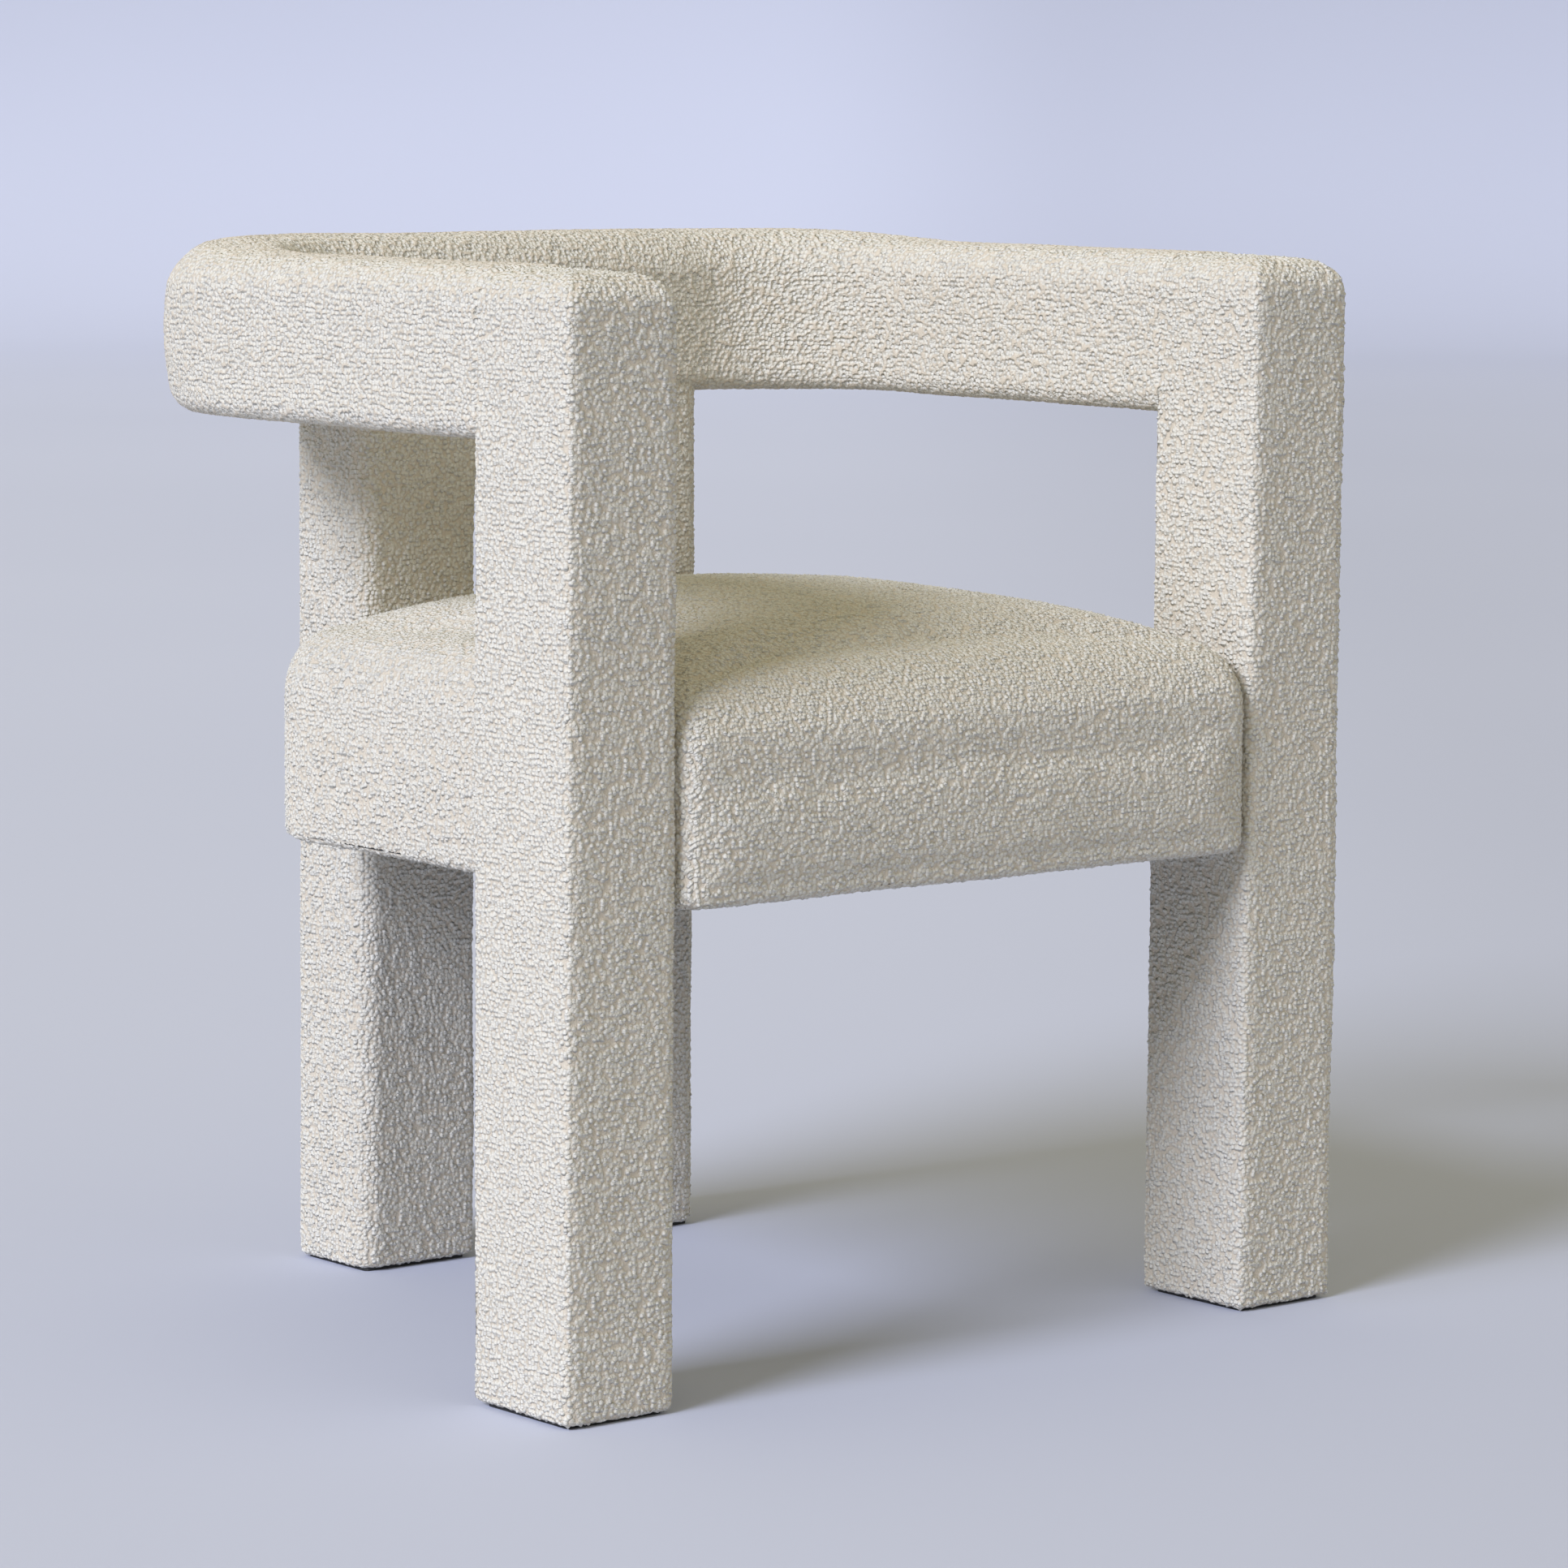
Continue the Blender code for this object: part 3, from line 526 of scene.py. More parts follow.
# %% [markdown]
# ## The front legs
#
# Each sleeve has a turned-under hem at the foot, straight walls, and a top that rounds over at
# the front and the sides. Two seams run up its front edges, where the cloth bunches into a
# ridge. The distances to those edges and to the closing seam go with the grid.

# %% Sew the front leg sleeves
HEM_WIDTH = 0.014
HEM_ROUND = 0.004
FOOT_DROP = 0.002  # the hem hides part of the glide
TOP_CROWN = 0.0015
RIDGE_FADE = 0.25  # how fast the ridges die away as the top draws in


def hem_rings():
    """(height above the foot, drawn in, distance) for the hem that turns under the foot."""
    flat = [(0.0, drawn, HEM_ROUND - drawn) for drawn in run(HEM_WIDTH, HEM_ROUND, 6)]
    turns = run(0.0, QUARTER, 4)
    return flat + [(HEM_ROUND * (1 - cos(t)), HEM_ROUND * (1 - sin(t)), HEM_ROUND * t) for t in turns]


def around(distance, total, place):
    """The shorter way round from each column to a place on the ring."""
    gap = np.abs(distance - place)
    return np.minimum(gap, total - gap)


def leg_levels(low, high, top_round):
    """(height, drawn in at front and sides, drawn in at the rear, distance up the cloth)."""
    foot = low.z - FOOT_DROP
    levels = [(foot + up, drawn, drawn, foot + along) for up, drawn, along in hem_rings()]
    wall_start, wall_end = foot + HEM_ROUND, high.z - top_round
    count = round((wall_end - wall_start) / ROW_STEP)
    levels += [(z, 0.0, 0.0, z) for z in np.linspace(wall_start, wall_end, count + 1)]
    if top_round:
        arc_length = top_round * QUARTER
        for turn in np.linspace(0.0, QUARTER, round(arc_length / ROW_STEP) + 1)[1:]:
            drawn = top_round * (1 - cos(turn))
            levels.append((wall_end + top_round * sin(turn), drawn, 0.0, wall_end + top_round * turn))
        rest = (high[0] - low[0]) / 2 - top_round
        for along in np.linspace(0.0, rest, round(rest / ROW_STEP) + 1)[1:]:
            height = high.z + TOP_CROWN * sin(QUARTER * along / rest)
            levels.append((height, top_round + along, 0.0, wall_end + arc_length + along))
    return levels


def leg_sleeve(low, high, radii, top_round=0.0):
    """(ring, length round it, levels, points, distance across the rows, distance to the seam)."""
    ring = Ring(low, high, radii)
    levels = leg_levels(low, high, top_round)
    base = ring.points(0.0)
    total = ring.distance[-1] + np.linalg.norm(base[0] - base[-1])
    points, across = [], []
    for height, drawn, rear_in, distance in levels:
        plan = ring.points(drawn, rear_in)
        points.append(np.column_stack([plan, np.full(len(plan), height)]))
        across.append(np.full(len(plan), distance))
    tuck = np.tile(around(ring.distance, total, 0.0), (len(levels), 1))
    return ring, total, levels, np.array(points), np.array(across), tuck


def front_leg(word):
    low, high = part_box(f"front_leg_{word}_cover")
    radii = (FRONT_LEG_REAR_ROUND, FRONT_LEG_ROUND, FRONT_LEG_ROUND, FRONT_LEG_REAR_ROUND)
    ring, total, levels, points, across, tuck = leg_sleeve(low, high, radii, RAIL_TOP_ROUND)
    edges = [ring.distance[ring.column_of(corner)] for corner in (1, 2)]
    ridge = np.minimum(*[around(ring.distance, total, edge) for edge in edges])
    drawn = np.array([level[1] for level in levels])
    ridge = ridge[None, :] + drawn[:, None] * RIDGE_FADE
    piece = grid_sheet(f"front_leg_{word}_boucle", points, across, ridge=ridge, tuck=tuck)
    weld(piece)
    return dress(raise_nubs(piece), 0.95, f"front_leg_{word}_cover")


for word in SIDES:
    front_leg(word)
print("front sleeves sewn")

# %% [markdown]
# ## The rear legs
#
# The rear sleeves are the same kind of grid with no closed top, because they end inside the
# rail's cover. Their outer front corners are softer than the others. Near the rail the cloth
# widens towards the middle of the chair, where it is gathered into the rail's underside.

# %% Sew the rear leg sleeves
REAR_LEG_LAP = 0.010  # how far the sleeve goes up into the rail's rounded underside
FLARE = 0.008
FLARE_HEIGHT = 0.110


def rear_leg(word, side):
    low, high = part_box(f"rear_leg_{word}_cover")
    radii = [REAR_LEG_OUTER_CORNER, REAR_LEG_SOFT_CORNER, REAR_LEG_CORNER, REAR_LEG_CORNER]
    if side > 0:
        radii.reverse()
    top = Vector((high.x, high.y, high.z + REAR_LEG_LAP))
    _, _, _, points, across, tuck = leg_sleeve(low, top, radii)
    inner, outer = (low.x, high.x) if side > 0 else (high.x, low.x)
    rise = np.clip((points[..., 2] - high.z + FLARE_HEIGHT) / FLARE_HEIGHT, 0, 1)
    share = (points[..., 0] - outer) / (inner - outer)
    points[..., 0] -= side * FLARE * rise**2 * share
    piece = grid_sheet(f"rear_leg_{word}_boucle", points, across, tuck=tuck)
    return dress(raise_nubs(piece), 0.95, f"rear_leg_{word}_cover")


for word, side in SIDES.items():
    rear_leg(word, side)
print("rear sleeves sewn")

# %% [markdown]
# ## The arms and the back
#
# The rail is one rounded section carried along a U. The section is the same ring helper stood
# upright: its local Y is height. The faint rows follow the rail, so the distance across them is
# the distance round the section. Foam fills the cover out: its top is crowned a little, and its
# outer face bulges most round the back.

# %% Carry the section along a path
SECTION_HALF_HEIGHT = (leg_high.z - arm_low.z) / 2
RAIL_MIDDLE_HEIGHT = (leg_high.z + arm_low.z) / 2
END_LAP = 0.003  # how far each cover runs on, tucked inside the next one
END_TUCK = 0.002
ARM_CROWN = 0.0015
BACK_CROWN = 0.009
BACK_BULGE = 0.009
FILL_LENGTH = 0.14  # how far from its ends the back reaches its full bulge


def rail_section():
    half = ARM_THICKNESS / 2
    radii = (RAIL_UNDER_ROUND, RAIL_TOP_ROUND, RAIL_TOP_ROUND, RAIL_UNDER_ROUND)
    low, high = (-half, -SECTION_HALF_HEIGHT), (half, SECTION_HALF_HEIGHT)
    return Ring(low, high, radii, ROW_STEP)


def filled(local, full, crown, bulge):
    """(across, height) of a section's points when foam fills the cover to a share of full."""
    half = ARM_THICKNESS / 2
    # The section's second axis is turned over, so that its first side is the underside.
    across, height = local[:, 0], -local[:, 1]
    top = np.clip(height / SECTION_HALF_HEIGHT, 0, 1) ** 2 * (1 - (across / half) ** 2)
    outer = np.clip(-across / half, 0, 1) ** 2 * (1 - (height / SECTION_HALF_HEIGHT) ** 2)
    height = height + top * (ARM_CROWN + (crown - ARM_CROWN) * full)
    return across - outer * bulge * full, height


def rail_cover(name, stations, total, crown, bulge):
    """stations are (centre, direction to the inner side, distance along the middle)."""
    section = rail_section()
    points = []
    for centre, inward, distance in stations:
        from_end = min(distance, total - distance)
        tucked = END_TUCK * max(0.0, 1 - from_end / END_LAP)
        full = np.clip(from_end / FILL_LENGTH, 0, 1)
        full = full * full * (3 - 2 * full)
        across, height = filled(section.points(tucked), full, crown, bulge)
        place = np.array(centre)[None, :] + across[:, None] * np.array(inward)[None, :]
        points.append(np.column_stack([place, RAIL_MIDDLE_HEIGHT + height]))
    across = np.tile(section.distance, (len(points), 1))
    tuck = np.tile(around(section.distance, section.distance[-1], 0.0), (len(points), 1))
    return grid_sheet(name, np.array(points), across, tuck=tuck)


def arm(word, side):
    low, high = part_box(f"arm_cover_{word}")
    middle = (low.x + high.x) / 2
    start, end = low.y - END_LAP, high.y + END_LAP
    ys = np.linspace(start, end, round((end - start) / COLUMN_STEP) + 1)
    if side < 0:
        ys = ys[::-1]
    stations = [((middle, y), (-side, 0.0), abs(y - ys[0])) for y in ys]
    piece = rail_cover(f"arm_{word}_boucle", stations, end - start, ARM_CROWN, 0.0)
    return dress(raise_nubs(piece), 0.95, f"arm_cover_{word}")


for word, side in SIDES.items():
    arm(word, side)
print("arms covered")

# %% [markdown]
# The back is one piece with both corners in it. Its path is a short straight lead, a quarter
# circle and half of the straight back, then the same again mirrored, walked at an even step.

# %% The curved back
def back_stations():
    centre_radius = CORNER_RADIUS - ARM_THICKNESS / 2
    corner_x, corner_y = back_high.x - CORNER_RADIUS, back_high.y - CORNER_RADIUS
    start = back_low.y - END_LAP
    lead = corner_y - start
    arc_length = centre_radius * QUARTER
    total = 2 * (lead + arc_length + corner_x)
    found = []
    for distance in np.linspace(0.0, total, round(total / COLUMN_STEP) + 1):
        flip = -1.0 if distance > total / 2 else 1.0
        from_end = min(distance, total - distance)
        if from_end < lead:
            x, y, out = corner_x + centre_radius, start + from_end, (1.0, 0.0)
        elif from_end < lead + arc_length:
            turn = (from_end - lead) / centre_radius
            out = (cos(turn), sin(turn))
            x, y = corner_x + centre_radius * cos(turn), corner_y + centre_radius * sin(turn)
        else:
            x, y, out = corner_x - (from_end - lead - arc_length), corner_y + centre_radius, (0.0, 1.0)
        found.append(((x * flip, y), (-out[0] * flip, -out[1]), distance))
    return found, total


stations, back_length = back_stations()
back_piece = rail_cover("back_boucle", stations, back_length, BACK_CROWN, BACK_BULGE)
dress(raise_nubs(back_piece), 0.95, "back_cover")
print("back rail runs", round(back_length, 3), "m")

# %% [markdown]
# ## The seat
#
# The seat is a tight box cushion with a crowned top. Its cover starts as a closed form that is
# a little flatter than it should be. A voxel remesh gives it even faces, and cloth simulation
# with pressure and no gravity swells it, held along its base, the way foam pushes a sewn cover
# out. The swelling is capped, so that the cover stays between the legs. Its points then learn
# where they lie in the cloth from their places, because a remesh keeps no map.

# %% The cushion before it is filled
SEAT_RING_STEP = 0.012
SEAT_FRONT_ROUND = 0.018
SEAT_REAR_ROUND = 0.060
SEAM_HEIGHT = 0.098  # from the base to where the side panels meet the top
HEM_DROP = 0.005
SHOULDER_RISE = 0.042
SHOULDER_FRONT = 0.055  # how far in from the front the shoulder is level
SHOULDER_SIDE = 0.024
DOME_START = 0.024  # the dome before it swells
BASE_RINGS = 20
SIDE_RINGS = 14
TOP_RINGS = 34
BASE_EDGE = 0.003  # the small bevel where the sides turn under


def shoulder(distance, reach):
    """A quarter round: 0 at the edge and 1 from a reach inwards."""
    return np.sqrt(1 - (1 - np.clip(distance / reach, 0, 1)) ** 2)


def crown_height(plan, drawn):
    """A round shoulder along every edge, deepest at the front, and a low dome over the whole top."""
    x, y = plan.T
    sides, front = seat_high.x - np.abs(x), y - seat_low.y
    faces_front = sides / (sides + front + 1e-6)
    edge = shoulder(drawn, SHOULDER_SIDE + (SHOULDER_FRONT - SHOULDER_SIDE) * faces_front**2)
    along = (2 * y - seat_low.y - seat_high.y) / (seat_high.y - seat_low.y)
    dome = (1 - (x / seat_high.x) ** 2) * (1 - along**2)
    return SHOULDER_RISE * edge + DOME_START * dome


def cushion_start():
    radii = (SEAT_REAR_ROUND, SEAT_FRONT_ROUND, SEAT_FRONT_ROUND, SEAT_REAR_ROUND)
    ring = Ring(seat_low, seat_high, radii, SEAT_RING_STEP)
    reach = (seat_high.y - seat_low.y) / 2
    base = seat_low.z - HEM_DROP
    seam = seat_low.z + SEAM_HEIGHT
    levels = [(base, drawn, 0.0) for drawn in np.linspace(reach, BASE_EDGE, BASE_RINGS)]
    levels += [(height, 0.0, 0.0) for height in np.linspace(base + BASE_EDGE, seam, SIDE_RINGS)]
    levels += [(seam, reach * share**2, 1.0) for share in np.linspace(0.0, 1.0, TOP_RINGS)[1:]]
    points = []
    for height, drawn, domed in levels:
        plan = ring.points(drawn)
        points.append(np.column_stack([plan, height + domed * crown_height(plan, drawn)]))
    points = np.array(points)
    piece = grid_sheet("seat_boucle", points, points[..., 2])
    weld(piece)
    return piece


seat_piece = cushion_start()
print("cushion starts with", len(seat_piece.data.polygons), "faces")

# %% [markdown]
# Only the top may swell far. The side panels lie against the front legs, so their share of the
# movement is small, and the base does not move at all.

# %% Fill the cushion
VOXEL = 0.0065
SIM_FRAMES = 20
PRESSURE = 4.0
TOP_SWELL = 0.016
SIDE_SWELL = 0.0015
FRONT_SWELL = 0.004
SEAM_BLEND = 0.02  # how far under the seam the top's larger share of the swelling begins
BLEND_LENGTH = 0.03


def coordinates(mesh):
    found = np.empty(len(mesh.vertices) * 3, np.float32)
    mesh.vertices.foreach_get("co", found)
    return found.reshape(-1, 3).astype(float)


def bake_modifiers(piece):
    """Replaces a piece's mesh with what its modifiers make of it."""
    graph = bpy.context.evaluated_depsgraph_get()
    mesh = bpy.data.meshes.new_from_object(piece.evaluated_get(graph))
    piece.modifiers.clear()
    piece.data = mesh
    return piece


def even_faces(piece):
    remesh = piece.modifiers.new("even_faces", "REMESH")
    remesh.mode = "VOXEL"
    remesh.voxel_size = VOXEL
    return bake_modifiers(piece)


def under_pressure(piece, start):
    """Where the cover's points go when it is simulated as cloth under pressure."""
    held = piece.vertex_groups.new(name="held")
    held.add([int(i) for i in np.nonzero(start[:, 2] < seat_low.z + 2 * VOXEL)[0]], 1.0, "REPLACE")
    settings = piece.modifiers.new("cover", "CLOTH").settings
    settings.vertex_group_mass = "held"
    settings.use_pressure = True
    settings.uniform_pressure_force = PRESSURE
    settings.tension_stiffness = 40.0
    settings.bending_stiffness = 2.0
    settings.effector_weights.gravity = 0.0
    settings.quality = 5
    scene = bpy.context.scene
    for number in range(1, SIM_FRAMES + 1):
        scene.frame_set(number)
    graph = bpy.context.evaluated_depsgraph_get()
    moved = coordinates(piece.evaluated_get(graph).data)
    piece.modifiers.clear()
    scene.frame_set(1)
    return moved


def outwards_only(piece, step):
    """Foam only pushes outwards, so the share of a step that goes inwards is left out."""
    normals = np.empty(len(step) * 3, np.float32)
    piece.data.vertices.foreach_get("normal", normals)
    normals = normals.reshape(-1, 3).astype(float)
    return step - np.minimum((step * normals).sum(axis=1), 0)[:, None] * normals


def most_swelling(start):
    """How far each point may go: far on top, a little at the front and hardly at the sides."""
    height = start[:, 2] - seat_low.z
    over = np.clip((height - SEAM_HEIGHT + SEAM_BLEND) / BLEND_LENGTH, 0, 1)
    front = np.clip((seat_low.y + BLEND_LENGTH - start[:, 1]) / BLEND_LENGTH, 0, 1)
    from_front = (FRONT_SWELL - SIDE_SWELL) * front * (1 - over)
    return SIDE_SWELL + (TOP_SWELL - SIDE_SWELL) * over + from_front


def swell(piece):
    """Keeps a capped share of the movement that the simulation gives."""
    start = coordinates(piece.data)
    moved = under_pressure(piece, start)
    step = outwards_only(piece, moved - start)
    cap = most_swelling(start)
    length = np.linalg.norm(step, axis=1)
    # A soft cap leaves no edge where the limit begins.
    step *= (cap * np.tanh(length / cap) / np.maximum(length, 1e-9))[:, None]
    piece.data.vertices.foreach_set("co", (start + step).astype(np.float32).ravel())
    piece.data.update()
    print("cushion swelled by up to", round(float(length.max()) * 1000, 1), "mm before the cap")
    return piece


even_faces(seat_piece)
swell(seat_piece)
print("cushion has", len(seat_piece.data.polygons), "even faces")

# %% [markdown]
# The foam block inside takes the cover's own swollen shape, so the two always fit. It is the
# closed cover moved inwards along its normals, by more than the cloth is thick, and cut flat
# at the height where it lies on the webbing.

# %% Cut the foam block
FOAM_INSET = 0.0045


def fill_with_foam(cover):
    """A block a little smaller than the closed cover, cut flat where it lies on the webbing."""
    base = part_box("seat_foam")[0].z
    shape = bmesh.new()
    shape.from_mesh(cover.data)
    for point, inward in [(point, point.normal * -FOAM_INSET) for point in shape.verts]:
        point.co += inward
    whole = [*shape.verts, *shape.edges, *shape.faces]
    plane = {"plane_co": (0, 0, base), "plane_no": (0, 0, 1)}
    cut = bmesh.ops.bisect_plane(shape, geom=whole, clear_inner=True, **plane)["geom_cut"]
    rim = [edge for edge in cut if isinstance(edge, bmesh.types.BMEdge)]
    bmesh.ops.edgeloop_fill(shape, edges=rim)
    mesh = bpy.data.meshes.new("seat_filling")
    shape.to_mesh(mesh)
    shape.free()
    mesh.polygons.foreach_set("use_smooth", [True] * len(mesh.polygons))
    block = bpy.data.objects.new("seat_filling", mesh)
    bpy.context.scene.collection.objects.link(block)
    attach(block, "root")
    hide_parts("seat_foam")
    return block


seat_filling = fill_with_foam(seat_piece)
print("foam block has", len(seat_filling.data.polygons), "faces")

# %% [markdown]
# The faint rows run level round the cushion's sides, and go on over the top at the same pitch:
# the distance across them is the height plus the way in from the nearest edge. The hidden
# middle of the underside is taken away first, and the faces are divided, so that the nubs have
# points enough to rise.

# %% Lay the rows on the cushion
HEM_IN = 0.020  # the width of cover that stays under the cushion's edge


def open_base(piece):
    """Takes away the hidden middle of the underside, which the lining covers."""
    shape = bmesh.new()
    shape.from_mesh(piece.data)
    inside = []
    for face in shape.faces:
        x, y, z = face.calc_center_median()
        within = abs(x) < seat_high.x - HEM_IN and seat_low.y + HEM_IN < y < seat_high.y - HEM_IN
        if within and z < seat_low.z + VOXEL / 2:
            inside.append(face)
    bmesh.ops.delete(shape, geom=inside, context="FACES")
    shape.to_mesh(piece.data)
    shape.free()


def lay_rows(piece):
    """Stores each point's place and its distance across the rows, in place of the grid's."""
    place = coordinates(piece.data)
    x, y, z = place.T
    inwards = np.minimum(seat_high.x - np.abs(x), np.minimum(y - seat_low.y, seat_high.y - y))
    for word in ("rest", "across", "ridge", "tuck"):
        old = piece.data.attributes.get(word)
        if old:
            piece.data.attributes.remove(old)
    note_cloth(piece.data, place, z + np.maximum(inwards, 0))


def subdivide(piece, levels):
    smooth = piece.modifiers.new("smooth", "SUBSURF")
    smooth.levels = smooth.render_levels = levels
    return bake_modifiers(piece)


open_base(seat_piece)
subdivide(seat_piece, 2)
lay_rows(seat_piece)
dress(raise_nubs(seat_piece), 0.9, "seat_cover")
print("seat top at", round(float(coordinates(seat_piece.data)[:, 2].max()), 4))

# %% [markdown]
# ## The parts that keep their CAD shape
#
# Timber, foam, webbing, lining, glides and bolts are already the right shape, so they only get
# a finish. Each is small or hidden, but a stranger who opens the model sees them.

# %% Finishes for the inner parts
FOAM_DARK = (0.74, 0.64, 0.36, 1.0)
FOAM_LIGHT = (0.83, 0.75, 0.50, 1.0)
BIRCH_PALE = (0.66, 0.49, 0.31, 1.0)
BIRCH_GRAIN = (0.52, 0.36, 0.21, 1.0)
GLUE_LINE = (0.40, 0.27, 0.16, 1.0)


def finish_foam():
    material, net, shader = new_material("upholstery_foam")
    place = net.node("ShaderNodeTexCoord", {}, {}, "Object")
    cells = net.node("ShaderNodeTexVoronoi", {}, {"Vector": place, "Scale": 900.0}, "Distance")
    cloud = net.noise(place, 14.0)
    colour = net.mix(cloud.smooth(0.3, 0.7), FOAM_DARK, FOAM_LIGHT)
    net.feed(shader.inputs["Base Color"], colour)
    bump = net.node("ShaderNodeBump", {}, {"Strength": 0.5, "Distance": 0.0004, "Height": cells})
    net.feed(shader.inputs["Normal"], bump)
    shader.inputs["Roughness"].default_value = 1.0
    return material


def finish_timber():
    material, net, shader = new_material("laminated_birch")
    place = net.node("ShaderNodeTexCoord", {}, {}, "Object")
    x, y, z = net.parts(place)
    stretched = net.vector(x * 60, y * 60, z * 4)
    grain = net.noise(stretched, 1.0, 4.0, 0.6)
    plies = (z * 420 + grain * 2.0).math("SINE").smooth(-0.6, 0.9)
    colour = net.mix(grain.smooth(0.3, 0.75), BIRCH_PALE, BIRCH_GRAIN)
    colour = net.mix(plies * 0.25, colour, GLUE_LINE)
    net.feed(shader.inputs["Base Color"], colour)
    bump = net.node("ShaderNodeBump", {}, {"Strength": 0.3, "Distance": 0.0003, "Height": grain})
    net.feed(shader.inputs["Normal"], bump)
    shader.inputs["Roughness"].default_value = 0.6
    return material


def finish_woven(name, thread, dark, light, depth):
    """A plain weave of two sets of threads, thread metres apart."""
    material, net, shader = new_material(name)
    x, y, z = net.parts(net.node("ShaderNodeTexCoord", {}, {}, "Object"))
    warp = (x * (pi / thread)).math("SINE").abs()
    weft = ((y + z) * (pi / thread)).math("SINE").abs()
    height = warp * 0.5 + weft * 0.5
    net.feed(shader.inputs["Base Color"], net.mix(height.smooth(0.2, 0.9), dark, light))
    bump = net.node("ShaderNodeBump", {}, {"Strength": 0.6, "Distance": depth, "Height": height})
    net.feed(shader.inputs["Normal"], bump)
    shader.inputs["Roughness"].default_value = 0.9
    return material


def finish_smooth(name, base, wear, metallic, roughness):
    """A moulded or plated surface with faint wear and an uneven polish."""
    material, net, shader = new_material(name)
    place = net.node("ShaderNodeTexCoord", {}, {}, "Object")
    worn = net.noise(place, 160.0, 4.0, 0.6)
    net.feed(shader.inputs["Base Color"], net.mix(worn.smooth(0.45, 0.8), base, wear))
    net.feed(shader.inputs["Roughness"], worn * 0.25 + roughness)
    bump = net.node("ShaderNodeBump", {}, {"Strength": 0.2, "Distance": 0.0002, "Height": worn})
    net.feed(shader.inputs["Normal"], bump)
    shader.inputs["Metallic"].default_value = metallic
    return material


foam = finish_foam()
timber = finish_timber()

DARK_RUBBER = (0.03, 0.026, 0.022, 1.0)
BROWN_THREAD = (0.13, 0.11, 0.09, 1.0)
webbing = finish_woven("elastic_webbing", 0.0016, DARK_RUBBER, BROWN_THREAD, 0.0005)

LINING_GAP = (0.008, 0.008, 0.009, 1.0)
LINING_THREAD = (0.03, 0.03, 0.032, 1.0)
lining = finish_woven("black_dust_cloth", 0.0008, LINING_GAP, LINING_THREAD, 0.0002)

NYLON_BLACK = (0.012, 0.012, 0.012, 1.0)
NYLON_SCUFF = (0.05, 0.05, 0.05, 1.0)
nylon = finish_smooth("black_nylon", NYLON_BLACK, NYLON_SCUFF, 0.0, 0.45)

ZINC_BRIGHT = (0.62, 0.62, 0.60, 1.0)
ZINC_DULL = (0.45, 0.44, 0.40, 1.0)
zinc = finish_smooth("zinc_plated_steel", ZINC_BRIGHT, ZINC_DULL, 1.0, 0.3)

SLOT_FINISHES = {
    "foam": foam,
    "timber": timber,
    "webbing": webbing,
    "dust_cloth": lining,
    "black_nylon": nylon,
    "zinc_steel": zinc,
    "boucle": boucle,
}
print("finishes:", ", ".join(sorted(m.name for m in SLOT_FINISHES.values())))

# %% [markdown]
# The frame's record says which slot each part belongs to, so the finishes are handed out from
# it in one loop. The foam block that replaces the CAD one gets the same foam.

# %% Dress every CAD node from the record's slots
for part in frame["record"]["subparts"]:
    node = frame["nodes"][part["node"]]
    finish = SLOT_FINISHES[part["material_slot"]]
    node.data.materials.clear()
    node.data.materials.append(finish)
seat_filling.data.materials.append(foam)

# %% [markdown]
# ## The studio
#
# The chair stands on a pale lavender sweep: a floor that curves up into a wall all round, far
# enough away that a camera can walk round the chair inside it. It is a profile spun about the
# chair. Painted shade darkens its paper a little up the wall and on the side away from the key
# light.

# %% The paper sweep
SWEEP_FLOOR = 14.0
SWEEP_CURVE = 3.5
SWEEP_WALL = 4.5
SWEEP_SIDES = 96
PAPER_COLOUR = (0.575, 0.61, 0.75, 1.0)
PAPER_MOTTLE = (0.605, 0.64, 0.78, 1.0)
# painted shade: the dark colour that the paper is drawn towards up the wall and on the side away from the
# key light
PAPER_PAINTED_SHADE = (0.38, 0.40, 0.48, 1.0)
WALL_PAINTED_SHADE = 0.5  # how much painted shade darkens the paper up the wall
SIDE_PAINTED_SHADE = 0.36  # and how much painted shade darkens it on the side away from the key light


def finish_paper():
    material, net, shader = new_material("lavender_paper")
    place = net.node("ShaderNodeTexCoord", {}, {}, "Object")
    x, y, z = net.parts(place)
    # painted shade, not the paper's own colour: darker up the wall and on the side away from the key light
    wall = z.smooth(0.0, 1.6)
    away_side_painted_shade = (x * 0.77 - y * 0.64).smooth(-0.1, 1.1)
    paper = net.mix(net.noise(place, 0.6, 1.0), PAPER_COLOUR, PAPER_MOTTLE)
    paper_with_painted_shade = net.mix(wall * WALL_PAINTED_SHADE + away_side_painted_shade * SIDE_PAINTED_SHADE, paper, PAPER_PAINTED_SHADE)
    net.feed(shader.inputs["Base Color"], paper_with_painted_shade)
    shader.inputs["Roughness"].default_value = 0.85
    return material


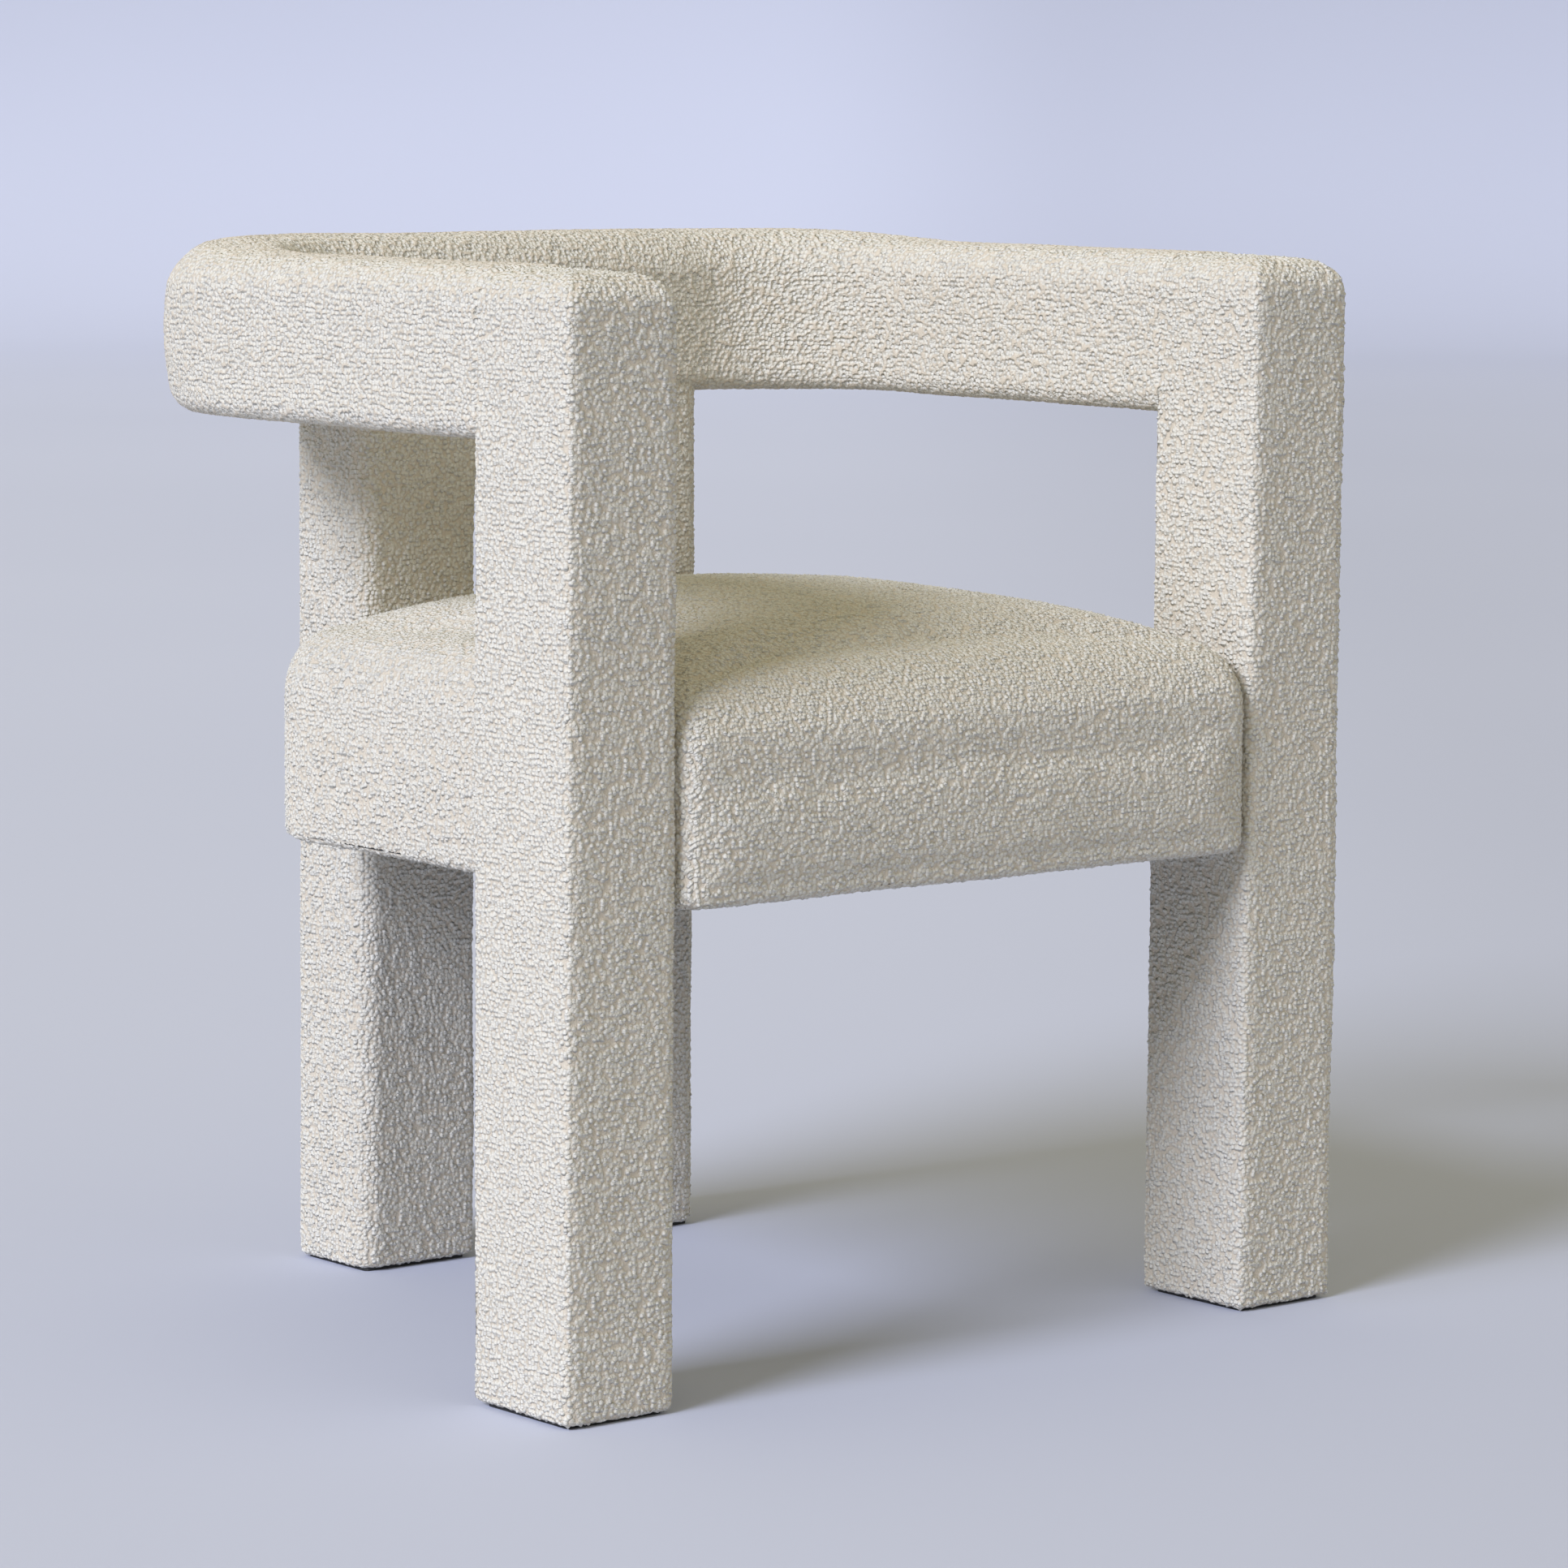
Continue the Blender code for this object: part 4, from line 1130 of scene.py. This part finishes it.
def build_sweep():
    profile = [(radius, 0.0) for radius in (0.0, 1.0, 3.0, 7.0, SWEEP_FLOOR)]
    for turn in np.linspace(0.0, QUARTER, 13)[1:]:
        profile.append((SWEEP_FLOOR + SWEEP_CURVE * sin(turn), SWEEP_CURVE * (1 - cos(turn))))
    profile.append((SWEEP_FLOOR + SWEEP_CURVE, SWEEP_WALL))
    shape = bmesh.new()
    points = [shape.verts.new((radius, 0.0, height)) for radius, height in profile]
    edges = [shape.edges.new(pair) for pair in zip(points, points[1:])]
    geometry = [*points, *edges]
    full_turn = {"axis": (0, 0, 1), "cent": (0, 0, 0), "angle": 2 * pi}
    bmesh.ops.spin(shape, geom=geometry, steps=SWEEP_SIDES, **full_turn)
    bmesh.ops.remove_doubles(shape, verts=shape.verts, dist=0.0001)
    bmesh.ops.recalc_face_normals(shape, faces=shape.faces)
    mesh = bpy.data.meshes.new("sweep")
    shape.to_mesh(mesh)
    shape.free()
    mesh.polygons.foreach_set("use_smooth", [True] * len(mesh.polygons))
    sweep = bpy.data.objects.new("sweep", mesh)
    bpy.context.scene.collection.objects.link(sweep)
    mesh.materials.append(finish_paper())


build_sweep()
print("sweep built, radius", SWEEP_FLOOR + SWEEP_CURVE, "m")

# %% [markdown]
# The key light comes from one side, so it strikes the outer sides squarely and rakes across the
# front, where it picks out every nub. It is a sun lamp with a wide disc: its shadows are as
# soft as a big lamp's, and the far floor is as bright as the near floor. The air all round is
# warmer than the key and fills the shadows.

# %% Key light and fill
KEY_DIRECTION = (-3.2, -0.5, 1.95)
KEY_DISC = radians(24.0)
KEY_STRENGTH = 2.52
KEY_COLOUR = (0.98, 1.02, 1.22)
AIR_COLOUR = (1.0, 0.93, 0.66, 1.0)
AIR_STRENGTH = 0.53


def soft_sun(name, towards, disc, strength, colour):
    """A sun lamp that shines from a direction and is as wide as a disc of this angle."""
    data = bpy.data.lights.new(name, "SUN")
    data.angle = disc
    data.energy = strength
    data.color = colour
    light = bpy.data.objects.new(name, data)
    light.rotation_euler = Vector(towards).to_track_quat("Z", "Y").to_euler()
    bpy.context.scene.collection.objects.link(light)


soft_sun("key", KEY_DIRECTION, KEY_DISC, KEY_STRENGTH, KEY_COLOUR)
world = bpy.data.worlds.new("studio_air")
world.use_nodes = True
air = world.node_tree.nodes["Background"]
air.inputs["Color"].default_value = AIR_COLOUR
air.inputs["Strength"].default_value = AIR_STRENGTH
bpy.context.scene.world = world
bpy.context.scene.view_settings.view_transform = "Standard"
print("studio lit")
